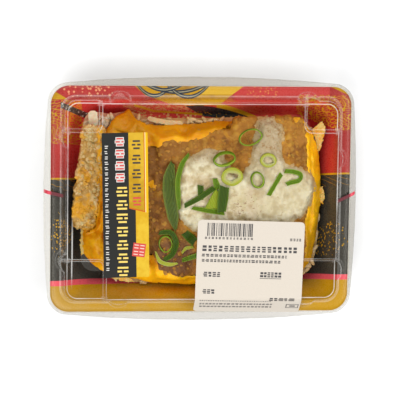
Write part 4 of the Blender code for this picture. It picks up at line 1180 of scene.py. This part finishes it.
for name, (half_width, layer, fold, kind, widths, *middle_line) in ONION_STRIPS.items():
    count = 12 * (len(middle_line) - 1) + 1
    line = along_curve(middle_line, count)
    sides, halves = [], []
    for k in range(count):
        ahead = line[min(k + 1, count - 1)] - line[max(k - 1, 0)]
        sides.append(Vector((-ahead.y, ahead.x)).normalized())
        at = (len(widths) - 1) * k / (count - 1)
        i = min(int(at), len(widths) - 2)
        halves.append(half_width * (widths[i] + (widths[i + 1] - widths[i]) * (at - i)))
    beds = [
        max(height_on(onion_bed, *(p + side * half * u))[0] for u in (-1.0, 0.0, 1.0))
        for p, side, half in zip(line, sides, halves)
    ]
    points, tones, across = [], [], []
    for k, (p, side, half) in enumerate(zip(line, sides, halves)):
        near = beds[max(0, k - 4) : k + 5]
        bed = max(sum(near) / len(near), beds[k] - STRIP_SINK) + STRIP_GAP + LAYER_HEIGHT * layer
        slant = 0.3 * half_width * {0: 1, count - 1: -1}.get(k, 0)
        for top in (True, False):
            for j in range(STRIP_COLUMNS) if top else reversed(range(STRIP_COLUMNS)):
                u = 2 * j / (STRIP_COLUMNS - 1) - 1
                place = p + side * half * u + Vector((side.y, -side.x)) * slant * u
                skin = STRIP_THICKNESS - 0.25 * abs(u) ** 3 if top else 0.0
                points.append((place.x, place.y, bed + fold * u * u + skin))
                tones.append(1.0 - 0.75 * u * u if top else 1.0)
                across.append(u * half)
    size = 2 * STRIP_COLUMNS
    rings = [points[k : k + size] for k in range(0, len(points), size)]
    finish_onion(name, points, skin_faces(rings), tones, across, kind)


# Cooked onion. Slices of bulb onion, simmered with the egg until soft and half see-through. Two of
# them show at the back, where they lie on the rice.
cooked_finish = Finish("cooked onion", 0.25, Subsurface_Weight=0.5, Subsurface_Scale=0.004)
cooked_finish.colour(
    (0.70, 0.60, 0.42),
    (cooked_finish.mottle(3.0).ramp(0.4, 0.7), (0.80, 0.74, 0.58)),
    (cooked_finish.x.ramp(-56.0, -46.0) * 0.75, (0.58, 0.38, 0.15)),
)
cooked_finish.bump(cooked_finish.mottle(1.5), 0.2)


def cover(node, finish):
    """Puts a finish on a plain solid that keeps its shape."""
    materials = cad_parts[node].data.materials
    materials.clear()
    materials.append(finish.material)


cover("cooked_onion_corner", cooked_finish)
cover("cooked_onion_back", cooked_finish)


# Lid. One clear thin sheet, vacuum-formed: a skirt that snaps over the tray's lip, a flat flange, a
# steep shoulder with half-round ribs, and a raised panel whose four corners are stepped down.
PANEL_TOP = 49.0
PANEL_HALF = 84.6
CORNER_STEP_BACK = (21.0, 17.5)
CORNER_STEP_FRONT = (24.0, 25.0)
CORNER_DROP = 4.5
CORNER_ROUNDING = 4.0
FLANGE_TOP = 36.9
SHOULDER_FOOT = 37.0  # above this the corners are stepped
FLANGE_BEND = (88.0, 9.4)  # half the long side and corner radius where the flange meets the shoulder
PANEL_BEND = (83.9, 6.5)  # the same where the shoulder meets the panel
RIB_HALF_WIDTH = 5.8
RIB_REACH = 3.6
RIBS = {"back": (66.0, -51.5), "left": (40.0, -38.0), "front": (-51.5, 66.0), "right": (-44.0, 26.5)}
LID_PROFILE = (
    # half the long side, height, corner radius, share of the ribs' reach
    (94.7, 31.9, 12.4, 0.0),
    (94.7, 36.2, 12.4, 0.0),
    (94.1, FLANGE_TOP, 12.0, 0.0),
    (FLANGE_BEND[0], FLANGE_TOP, FLANGE_BEND[1], 0.9),
    (87.0, 37.4, 9.0, 1.0),
    (85.2, 47.6, 7.2, 0.6),
    (84.4, 48.8, 7.0, 0.5),
    (83.2, PANEL_TOP, 6.6, 0.35),
)
PANEL_INSETS = [0.75 * k for k in range(1, 37)] + [31.0, 36.0, 42.0, 50.0]
LID_TINT = (0.985, 0.975, 0.94)
# The flat white of the painted highlights.
PAINTED_HIGHLIGHT_WHITE = (0.95, 0.93, 0.89, 1.0)
LID_GLOSS = 0.28
# How strongly the lid's painted highlights show.
LID_PAINTED_HIGHLIGHT = 0.55
PANEL_DENT = 0.12  # how uneven the flat panel is


def corner_step(x, y):
    """How far down the panel is stepped at a place: 0 on the panel and 1 in its corners."""
    reach_x, reach_y = CORNER_STEP_BACK if y > 0 else CORNER_STEP_FRONT
    deep_x = abs(x) - (PANEL_HALF - reach_x)
    deep_y = abs(y) - (PANEL_HALF - SIDE_DIFFERENCE - reach_y)
    round_x, round_y = max(CORNER_ROUNDING - deep_x, 0.0), max(CORNER_ROUNDING - deep_y, 0.0)
    inside = CORNER_ROUNDING - math.hypot(round_x, round_y)
    share = min(1.0, max(0.0, (inside + 0.8) / 1.6))
    return share * share * (3 - 2 * share)


def rib_reach(x, y, half):
    """How far a rib stands out at a place on the shoulder: 1 at its middle and 0 beside it."""
    half_y = half - SIDE_DIFFERENCE
    if abs(y) > half_y - 0.01:
        along, ribs = x, RIBS["back" if y > 0 else "front"]
    elif abs(x) > half - 0.01:
        along, ribs = y, RIBS["right" if x > 0 else "left"]
    else:
        return 0.0
    nearest = min(abs(along - rib) for rib in ribs) / RIB_HALF_WIDTH
    return math.sqrt(max(0.0, 1.0 - nearest * nearest))


def lid_ring(half, z, radius, share):
    """Points round the lid for one row of its profile, with the ribs and the stepped corners."""
    ring = []
    for x, y, z in ring_of(half, z, radius, corner_points=14, long_points=170, short_points=120):
        out = share * RIB_REACH * rib_reach(x, y, half)
        if abs(y) > half - SIDE_DIFFERENCE - 0.01:
            y += math.copysign(out, y)
        elif out:
            x += math.copysign(out, x)
        if z > SHOULDER_FOOT:
            z = min(z, PANEL_TOP - CORNER_DROP * corner_step(x, y))
        ring.append((x, y, z))
    return ring


def make_clear(finish, tint, gloss_share, painted_highlights):
    """Makes a finish see-through and glossy at a slant, overlaid with flat white where the given mask is
    high: painted highlights along the sheet's bends and edges.
    """
    tree = finish.tree
    through = tree.nodes.new("ShaderNodeBsdfTransparent")
    if isinstance(tint, tuple):
        through.inputs["Color"].default_value = (*tint, 1.0)
    else:
        tree.links.new(tint, through.inputs["Color"])
    highlight_paint = tree.nodes.new("ShaderNodeBsdfDiffuse")
    highlight_paint.inputs["Color"].default_value = PAINTED_HIGHLIGHT_WHITE
    mirror = tree.nodes.new("ShaderNodeBsdfGlossy")
    mirror.inputs["Roughness"].default_value = finish.shader.inputs["Roughness"].default_value
    weight = tree.nodes.new("ShaderNodeLayerWeight")
    weight.inputs["Blend"].default_value = 0.5
    slant = Field(tree, weight.outputs["Facing"]).ramp(0.2, 1.0) * gloss_share
    shaders = through.outputs[0]
    for share, over in ((slant, mirror), (painted_highlights, highlight_paint)):
        mix = tree.nodes.new("ShaderNodeMixShader")
        tree.links.new(share.socket, mix.inputs[0])
        tree.links.new(shaders, mix.inputs[1])
        tree.links.new(over.outputs[0], mix.inputs[2])
        shaders = mix.outputs[0]
    tree.nodes.remove(finish.shader)
    output = next(node for node in tree.nodes if node.type == "OUTPUT_MATERIAL")
    tree.links.new(shaders, output.inputs["Surface"])
    return finish.material


def keep_bends(piece, least, most):
    """Marks how sharply the sheet bends at each point: 0 up to the least angle, 1 from the most."""
    form = bmesh.new()
    form.from_mesh(piece.data)
    tones = []
    for vertex in form.verts:
        bend = max((edge.calc_face_angle(0.0) for edge in vertex.link_edges), default=0.0)
        tones.append(min(1.0, max(0.0, (bend - least) / (most - least))))
    form.free()
    keep_tones(piece, tones)


def corner_depth(x, y, half, radius):
    """How far a place is outside a rounded rectangle of the box; less than nothing inside."""
    deep_x = abs(x) - (half - radius)
    deep_y = abs(y) - (half - SIDE_DIFFERENCE - radius)
    return (deep_x | 0.0).reach(deep_y | 0.0) + (deep_x | deep_y).by("MINIMUM", 0.0) - radius


shoulder_rings = [lid_ring(*row) for row in softened(LID_PROFILE)]
lid_rings = list(shoulder_rings)
edge_half, _, edge_radius, _ = LID_PROFILE[-1]
for inset in PANEL_INSETS:
    radius, share = max(1.0, edge_radius - 0.15 * inset), max(0.0, 0.3 - 0.13 * inset)
    lid_rings.append(lid_ring(edge_half - inset, PANEL_TOP, radius, share))
lid_points = []
for row, ring in enumerate(lid_rings):
    for x, y, z in ring:
        dent = PANEL_DENT * lumps(x, y, 24.0, 9.0) if row > len(shoulder_rings) else 0.0
        lid_points.append((x, y, z + min(0.05, dent)))
lid_faces = skin_faces(lid_rings, caps=False)
lid_faces.append(tuple(range(len(lid_points) - len(lid_rings[-1]), len(lid_points))))

lid_finish = Finish("clear lid", 0.06)
lx, ly, lz = lid_finish.x, lid_finish.y, lid_finish.z
front_half = ly < 0.0
rounding = []
for place, half, back, ahead in zip(
    (lx, ly), (PANEL_HALF, PANEL_HALF - SIDE_DIFFERENCE), CORNER_STEP_BACK, CORNER_STEP_FRONT
):
    into_corner = abs(place) - (half - back) + front_half * (ahead - back)
    rounding.append((into_corner * -1.0 + CORNER_ROUNDING) | 0.0)
into_step = rounding[0].reach(rounding[1]) * -1.0 + CORNER_ROUNDING
panel_edge = corner_depth(lx, ly, *PANEL_BEND)
on_shoulder = (panel_edge > -1.5) * 0.45
on_panel = panel_edge < 0.2
# Painted highlights: flat white lines along the corner steps, the panel's edge, the flange's bend, a glint on
# the left, and the shoulder's bends.
step_foot = abs(into_step - 0.9).ramp(0.45, 0.1) * on_panel * 0.45
step_brow = abs(into_step + 0.9).ramp(0.4, 0.1) * on_panel * 0.6
panel_line = abs(panel_edge).ramp(0.45, 0.1) * (lz > 43.0)
left_stretch = (lx < 0.0) * ly.ramp(-6.0, -24.0) * ly.ramp(-56.0, -46.0)
left_glint = abs(panel_edge + 2.9).ramp(0.6, 0.15) * left_stretch * 0.9
flange_line = abs(corner_depth(lx, ly, *FLANGE_BEND)).ramp(0.5, 0.1) * (lz < 38.5) * 0.4
streaky = lid_finish.mottle(18.0).ramp(0.3, 0.65) * 0.6 + 0.4
painted_highlights = step_foot | step_brow | panel_line | flange_line | left_glint | (lid_finish.stored() * on_shoulder)
make_clear(lid_finish, LID_TINT, LID_GLOSS, painted_highlights * streaky * LID_PAINTED_HIGHLIGHT)
lid = add_piece("clear_lid", lid_points, lid_faces, lid_finish.material, smooth_angle=50)
keep_bends(lid, 0.15, 0.8)
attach(lid, "root")
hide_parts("lid")


# Front label. Glossy paper stuck on the lid's left. It is printed with a black field, a gold panel
# beside it, rows of plain marks and a small red stamp.
FRONT_CENTRE = (-48.2, -1.8)
FRONT_TURN = math.radians(1.3)
LABEL_RED = (0.55, 0.12, 0.01)
INK_LIFT = 0.05
front = Finish("front label print", 0.45, Coat_Weight=0.02, Specular_IOR_Level=0.15)
off_x, off_y = front.x - FRONT_CENTRE[0], front.y - FRONT_CENTRE[1]
turned_x = off_x * math.cos(FRONT_TURN) + off_y * math.sin(FRONT_TURN)
turned_y = off_y * math.cos(FRONT_TURN) - off_x * math.sin(FRONT_TURN)
gold_edge = turned_x * -0.25
upper = turned_y > (gold_edge - 1.5)
gold_strip = turned_x > 6.2
upper_gold = upper * (turned_x > 2.2)
gold_cloud = front.mottle(9.0, detail=4.0)
front.colour(
    (0.020, 0.020, 0.018),
    (gold_strip, (0.62, 0.35, 0.010)),
    (gold_strip * gold_cloud.ramp(0.4, 0.65), (0.70, 0.46, 0.03)),
    (upper_gold, (0.46, 0.25, 0.006)),
    (upper_gold * gold_cloud.ramp(0.35, 0.7), (0.64, 0.39, 0.025)),
    (upper * turned_x.between(11.6, 12.2), LABEL_RED),
    (upper_gold * (turned_y < (gold_edge - 0.7)), LABEL_RED),
    (upper * turned_x.between(12.2, 12.7), (0.86, 0.70, 0.30)),
    (upper * (turned_x > 12.7), (0.74, 0.43, 0.004)),
)
cover("label_front", front)


class Ink:
    """Flat printed marks of one colour, collected and then made into one thin piece."""

    def __init__(self, name, colour, slot, surface):
        self.name, self.slot, self.surface = name, slot, surface
        self.points, self.faces = [], []
        finish = Finish(name, 0.45)
        finish.colour(colour, (finish.mottle(1.1).ramp(0.45, 0.8) * 0.35, tuple(c * 0.8 for c in colour)))
        self.material = finish.material

    def shape(self, outline):
        """One flat mark with this outline."""
        start = len(self.points)
        self.points += [self.surface(x, y) for x, y in outline]
        self.faces.append(tuple(range(start, start + len(outline))))

    def bar(self, x, y, width, height):
        """An upright bar, in short rows so that it can follow a bent surface."""
        rows = max(1, math.ceil(height / 0.5))
        for row in range(rows):
            low, high = y + height * row / rows, y + height * (row + 1) / rows
            self.shape(((x, low), (x + width, low), (x + width, high), (x, high)))

    def stroke(self, start, end, width):
        """A slanting bar from one place to another, half its width longer at each end."""
        along = (end - start).normalized() * width / 2
        across = Vector((-along.y, along.x))
        first, last = start - along, end + along
        self.shape([tuple(p) for p in (first + across, first - across, last - across, last + across)])

    def finished(self):
        """Makes the piece from all marks of this ink."""
        piece = add_piece(self.name, self.points, self.faces, self.material)
        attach(piece, "root")


front_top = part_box("label_front")[1].z / MM


def on_front(lift):
    """Where the marks lie: a place on the label, from its middle, at a small height above the paper."""

    def surface(x, y):
        turned = Matrix.Rotation(FRONT_TURN, 2) @ Vector((x, y))
        return (FRONT_CENTRE[0] + turned.x, FRONT_CENTRE[1] + turned.y, front_top + lift)

    return surface


gold_ink = Ink("label_gold_marks", (0.84, 0.60, 0.12), "front_label", on_front(INK_LIFT))
white_ink = Ink("label_white_marks", (0.70, 0.67, 0.62), "front_label", on_front(INK_LIFT))
red_ink = Ink("label_red_marks", (0.60, 0.05, 0.035), "front_label", on_front(2 * INK_LIFT))
dark_ink = Ink("label_dark_marks", (0.035, 0.022, 0.012), "front_label", on_front(INK_LIFT))
stamp_ink = Ink("label_stamp_marks", (0.82, 0.66, 0.55), "front_label", on_front(3 * INK_LIFT))
mark_draw = random.Random(17)


def mark(x, y, width, height, *inks):
    """A block of plain bars: a long one, two short ones side by side, and a long one.

    Each ink is followed by how far its bars grow on every side.
    """
    thick = height / 5
    bars = []
    for row in (1, -1):
        trim = width * mark_draw.uniform(0.0, 0.18)
        bars.append((x - width / 2 + trim, y + row * 2 * thick, width - trim * 1.6))
    split = width * mark_draw.uniform(-0.15, 0.15)
    bars.append((x - width / 2, y, width / 2 + split - thick / 2))
    bars.append((x + split + thick / 2, y, width / 2 - split - thick / 2))
    for ink, grow in zip(inks[::2], inks[1::2]):
        for left, middle, length in bars:
            ink.bar(left - grow, middle - thick / 2 - grow, length + 2 * grow, thick + 2 * grow)


MARK_ROWS = (
    # how many, x, y of the first and step to the next, width, height, then each ink and how far its bars grow
    (4, -3.2, 39.5, 7.4, 5.0, 4.8, white_ink, 0.45, red_ink, 0.0),
    (7, -2.2, 8.6, 8.3, 6.8, 5.8, gold_ink, 0.0),
    (4, 7.0, 37.5, 9.0, 5.4, 5.6, dark_ink, 0.0),
    (1, 7.0, 2.4, 0.0, 5.2, 5.2, red_ink, 0.0),
)
SMALL_MARKS = 24
SMALL_MARK_HEIGHT = 0.55
SMALL_MARK_PLACE = (-12.7, 35.4)  # left end of the first pair, counted from the label's middle
SMALL_MARK_STEP = 3.3
STAMP_PLACE = Vector((7.9, -28.0))
STAMP_TURN = Matrix.Rotation(math.radians(-8), 2)
STAMP_CORNERS = ((-3.9, -4.2), (3.9, -4.2), (3.9, 4.2), (-3.9, 4.2))
STAMP_COLUMNS = (-1.8, 1.8)
STAMP_ROWS = (-2.9, -1.1, 1.1, 2.9)
STROKE_REACH = 1.1
STROKE_WIDTH = 0.5


def mark_row(count, x, y, step, width, height, *inks):
    """Marks of one size in a line down the label."""
    for k in range(count):
        mark(x, y - step * k, width, height, *inks)


for row in MARK_ROWS[:2]:
    mark_row(*row)
for k in range(SMALL_MARKS):
    for up in (0.0, 1.2):
        left = SMALL_MARK_PLACE[0] + mark_draw.uniform(0.0, 0.4)
        low = SMALL_MARK_PLACE[1] + up - SMALL_MARK_STEP * k
        white_ink.bar(left, low, mark_draw.uniform(1.5, 2.2), SMALL_MARK_HEIGHT)
for row in MARK_ROWS[2:]:
    mark_row(*row)
red_ink.shape([tuple(STAMP_PLACE + STAMP_TURN @ Vector(corner)) for corner in STAMP_CORNERS])
for dx in STAMP_COLUMNS:
    for dy in STAMP_ROWS:
        ends = (Vector((dx - STROKE_REACH, dy)), Vector((dx + STROKE_REACH, dy)))
        stamp_ink.stroke(*(STAMP_PLACE + STAMP_TURN @ end for end in ends), STROKE_WIDTH)
for ink in (gold_ink, white_ink, red_ink, dark_ink, stamp_ink):
    ink.finished()


# Price label. Matt white thermal paper with round corners, stuck flat on the lid and folded down
# over its front edge. It is printed with plain bars and short dashes.
PRICE_WIDTH = 67.0
PRICE_TOP_CENTRE = (30.4, -11.6)
PRICE_TURN = math.radians(-1.6)
PRICE_BEND_RADIUS = 3.0
PRICE_BEND_ANGLE = math.radians(47.0)
BEND_BEFORE_EDGE = 1.4  # how far before the panel's edge the paper starts to bend
PAPER_BED = 49.4
PAPER_THICKNESS = 0.3
BAR_WIDTHS = (0.3, 0.45, 0.7, 0.95)
BAR_GAPS = (0.3, 0.45, 0.6, 0.9)
BAR_ROW = (6.0, 34.0)  # where the row of bars starts and ends
BAR_TOP = 1.8
BAR_HEIGHT = 8.2
PRICE_DASHES = (
    # x, y, length and height of the row, least and most width of a dash, and the gap
    (4.5, 10.6, 31.0, 1.3, 0.9, 1.6, 0.9),
    (58.0, 10.4, 7.0, 1.6, 1.2, 1.5, 0.5),
    (3.0, 16.0, 62.0, 3.6, 1.8, 3.0, 0.9),
    (3.0, 21.3, 55.0, 1.7, 1.2, 2.4, 0.5),
    (3.0, 24.6, 50.0, 1.7, 1.2, 2.4, 0.5),
    (4.5, 32.6, 11.5, 3.0, 1.8, 2.6, 0.5),
    (40.0, 32.0, 13.5, 3.2, 1.6, 2.2, 0.4),
    (4.5, 43.6, 8.5, 2.7, 1.8, 2.4, 0.5),
    (46.5, 48.2, 18.0, 1.8, 1.8, 4.2, 0.5),
    (3.0, 50.4, 46.0, 0.6, 0.5, 0.9, 0.7),
    (3.0, 53.2, 46.0, 1.4, 1.2, 2.4, 0.5),
    (3.0, 56.2, 46.0, 1.4, 1.2, 2.4, 0.5),
)
PRICE_BARS = (
    # x, y, width and height
    (40.0, 35.8, 13.5, 0.35),
    (58.0, 53.6, 8.0, 0.5),
    (58.0, 57.2, 8.0, 0.5),
    (58.0, 53.6, 0.5, 4.0),
    (65.5, 53.6, 0.5, 4.0),
    (60.2, 55.0, 3.6, 1.2),
)
paper = Finish("label paper", 0.55)
paper_fibre = paper.mottle(0.8)
paper.colour((0.64, 0.57, 0.48), (paper_fibre.ramp(0.4, 0.8), (0.61, 0.545, 0.455)))
paper.bump(paper_fibre, 0.03)
cover("label_price", paper)


def on_price(x, y):
    """A place on the price label: x from its left edge and y down from its top edge, in mm."""
    across = x - PRICE_WIDTH / 2
    lift = PAPER_THICKNESS + INK_LIFT
    run = y * math.cos(PRICE_TURN) - across * math.sin(PRICE_TURN)
    side = PRICE_TOP_CENTRE[0] + across * math.cos(PRICE_TURN) + y * math.sin(PRICE_TURN)
    flat = PRICE_TOP_CENTRE[1] + (PANEL_HALF - SIDE_DIFFERENCE) - BEND_BEFORE_EDGE
    if run <= flat:
        return (side, PRICE_TOP_CENTRE[1] - run, PAPER_BED + lift)
    angle = min((run - flat) / PRICE_BEND_RADIUS, PRICE_BEND_ANGLE)
    straight = run - flat - angle * PRICE_BEND_RADIUS
    back = flat + (PRICE_BEND_RADIUS + lift) * math.sin(angle) + straight * math.cos(angle)
    drop = PRICE_BEND_RADIUS - (PRICE_BEND_RADIUS + lift) * math.cos(angle) + straight * math.sin(angle)
    return (side, PRICE_TOP_CENTRE[1] - back, PAPER_BED - drop)


price_ink = Ink("price_marks", (0.05, 0.045, 0.045), "price_label", on_price)
price_draw = random.Random(5)


def dashes(x, y, length, height, least, most, gap):
    """A row of short dashes: a low one is one bar, and a high one is two or three, one below the other."""
    at = x
    while at < x + length - least:
        width = min(price_draw.uniform(least, most), x + length - at)
        if height > 1.2:
            parts = price_draw.choice((2, 3))
            thick = height / (2 * parts - 1) * 1.25
            for part in range(parts):
                inset = width * price_draw.uniform(0.0, 0.25)
                price_ink.bar(at + inset, y + part * (height - thick) / (parts - 1), width - inset, thick)
        else:
            price_ink.bar(at, y, width, height)
        at += width + gap


at = BAR_ROW[0]
while at < BAR_ROW[1]:
    width = price_draw.choice(BAR_WIDTHS)
    price_ink.bar(at, BAR_TOP, width, BAR_HEIGHT)
    at += width + price_draw.choice(BAR_GAPS)
for row in PRICE_DASHES:
    dashes(*row)
for bar in PRICE_BARS:
    price_ink.bar(*bar)
price_ink.finished()


# Film. A clear shrink film round the pack from the flange to under the tray. It stands off loosely
# between the corners, puckers, and has a red tear strip at the middle of each short side.
FILM_ROWS = (
    # half the long side, height, corner radius, share of the bulge
    (91.6, 37.6, 9.0, 0.0),
    (94.6, 37.6, 12.4, 0.3),
    (95.7, 36.4, 12.7, 0.8),
    (95.9, 31.0, 12.7, 1.0),
    (88.2, 19.8, 12.6, 0.6),
    (77.8, 5.0, 11.0, 0.1),
)
BULGE_LONG = 4.2
BULGE_SHORT = 2.8
TIGHT_END = 12.0  # the film lies tight over this length at each corner
FILM_GLOSS = 0.22
# How strongly the film's painted highlights show at its bends.
FILM_PAINTED_HIGHLIGHT = 0.12
PUCKER = 0.25
TEAR_STRIPS = {
    # outer and inner end
    "tear_strip_left": ((-98.2, 5.4), (-86.4, 2.6)),
    "tear_strip_right": ((97.2, 4.6), (86.0, -0.8)),
}
TEAR_HALF_WIDTH = 1.1
TEAR_STEPS = 12
TEAR_TOP = 38.1
TEAR_DROP = 3.0  # how far the outer end bends down over the rim's edge
TEAR_OVERHANG = 3.4
RIM_EDGE = 94.6


def film_point(half, z, share, x, y):
    """A place on the film, moved out by its bulge and puckers."""
    half_y = half - SIDE_DIFFERENCE
    pucker = PUCKER * lumps(x, y + z, 12.0, 4.0) * min(1.0, share * 2)
    if abs(y) > half_y - 0.01:
        y += math.copysign(share * BULGE_LONG * max(0.0, 1 - (x / (half - TIGHT_END)) ** 2) + pucker, y)
    elif abs(x) > half - 0.01:
        x += math.copysign(share * BULGE_SHORT * max(0.0, 1 - (y / (half_y - TIGHT_END)) ** 2) + pucker, x)
    return (x, y, z)


film_finish = Finish("clear film", 0.12)
hanging = film_finish.z.ramp(FLANGE_TOP, 35.0)
# The film below the flange is greyer than above it and a little darker at the front. It is lighter at the
# left and darker at the right: painted light and painted shade.
hanging_tint_and_shade = film_finish.layers(
    (0.96, 0.955, 0.94),
    (hanging, (0.84, 0.81, 0.77)),
    (hanging * film_finish.x.ramp(-80.0, -95.0), (0.98, 0.97, 0.94)),
    (hanging * film_finish.x.ramp(80.0, 95.0), (0.72, 0.70, 0.66)),
    (hanging * film_finish.y.ramp(-58.0, -72.0), (0.80, 0.78, 0.75)),
)
# The film's sharp bends get painted highlights.
make_clear(film_finish, hanging_tint_and_shade, FILM_GLOSS, film_finish.stored() * FILM_PAINTED_HIGHLIGHT)
film_rings = []
for half, z, radius, share in softened(FILM_ROWS):
    ring = ring_of(half, z, radius, long_points=90, short_points=60)
    film_rings.append([film_point(half, z, share, x, y) for x, y, _ in ring])
film_faces = skin_faces(film_rings, caps=False)
film = add_piece("shrink_film", joined(film_rings), film_faces, film_finish.material, smooth_angle=60)
keep_bends(film, 0.2, 0.9)
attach(film, "root")
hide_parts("film")

tear_finish = Finish("red tear strip", 0.4)
tear_finish.colour(
    (0.66, 0.03, 0.06),
    (tear_finish.mottle(2.5).ramp(0.4, 0.7), (0.74, 0.06, 0.10)),
    (abs(tear_finish.x).ramp(95.0, 93.0) * 0.93, (0.085, 0.006, 0.012)),
)
for name, (outer, inner) in TEAR_STRIPS.items():
    strip_points = []
    for k in range(TEAR_STEPS):
        x, y = Vector(outer).lerp(Vector(inner), k / (TEAR_STEPS - 1))
        z = TEAR_TOP - TEAR_DROP * max(0.0, (abs(x) - RIM_EDGE) / TEAR_OVERHANG) ** 2
        strip_points += [(x, y + TEAR_HALF_WIDTH, z), (x, y - TEAR_HALF_WIDTH, z)]
    tear = add_piece(name, strip_points, sheet_faces(TEAR_STEPS, 2), tear_finish.material)
    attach(tear, "root")


# Studio. A pale floor, soft lamps on three sides, and the camera nearly straight above the pack, a
# little towards its back left.
FRAME_WIDTH = 0.25
CAMERA_DISTANCE = 1.3
SENSOR = 36.0
AIM = Vector((-0.0008, -0.0001, 0.0369))
LEAN_LEFT = math.radians(6.0)
LEAN_BACK = math.radians(7.4)
FLOOR_REACH = 3000.0
SKY = (0.95, 0.97, 1.0, 1.0)
SKY_STRENGTH = 0.45
LAMPS = {
    # place and width in metres, and watts
    "key": ((-0.5, -0.5, 1.1), 0.9, 9.4),
    "fill": ((0.8, 0.0, 0.95), 0.9, 7.6),
    "back": ((-0.1, 0.95, 0.85), 0.7, 4.4),
}
LAMP_AIM = Vector((0, 0, 0.03))
toward = Vector((-math.tan(LEAN_LEFT), math.tan(LEAN_BACK), 1.0)).normalized()
right = (Vector((1, 0, 0)) - toward * toward.x).normalized()
up = toward.cross(right)
camera_data = bpy.data.cameras.new("camera")
camera_data.sensor_width = SENSOR
camera_data.lens = SENSOR * CAMERA_DISTANCE / FRAME_WIDTH
camera_data.clip_start = 0.01
camera = bpy.data.objects.new("camera", camera_data)
bpy.context.scene.collection.objects.link(camera)
camera_turn = Matrix((right, up, toward)).transposed().to_4x4()
camera.matrix_world = Matrix.Translation(AIM + toward * CAMERA_DISTANCE) @ camera_turn
bpy.context.scene.camera = camera

floor_finish = Finish("pale floor", 0.7)
floor_finish.colour((0.96, 0.96, 0.96), (floor_finish.mottle(60.0).ramp(0.3, 0.7), (0.98, 0.98, 0.98)))
floor_points = [(x * FLOOR_REACH, y * FLOOR_REACH, 0) for x, y in ((-1, -1), (1, -1), (1, 1), (-1, 1))]
floor = add_piece("floor", floor_points, [(0, 1, 2, 3)], floor_finish.material)

world = bpy.data.worlds.new("studio")
world.use_nodes = True
world.node_tree.nodes["Background"].inputs["Color"].default_value = SKY
world.node_tree.nodes["Background"].inputs["Strength"].default_value = SKY_STRENGTH
bpy.context.scene.world = world
bpy.context.scene.view_settings.view_transform = "Standard"
for lamp_name, (place, lamp_size, watts) in LAMPS.items():
    lamp_data = bpy.data.lights.new(lamp_name, "AREA")
    lamp_data.shape = "SQUARE"
    lamp_data.size = lamp_size
    lamp_data.energy = watts
    lamp = bpy.data.objects.new(lamp_name, lamp_data)
    lamp.location = place
    lamp.rotation_euler = (LAMP_AIM - Vector(place)).to_track_quat("-Z", "Y").to_euler()
    bpy.context.scene.collection.objects.link(lamp)
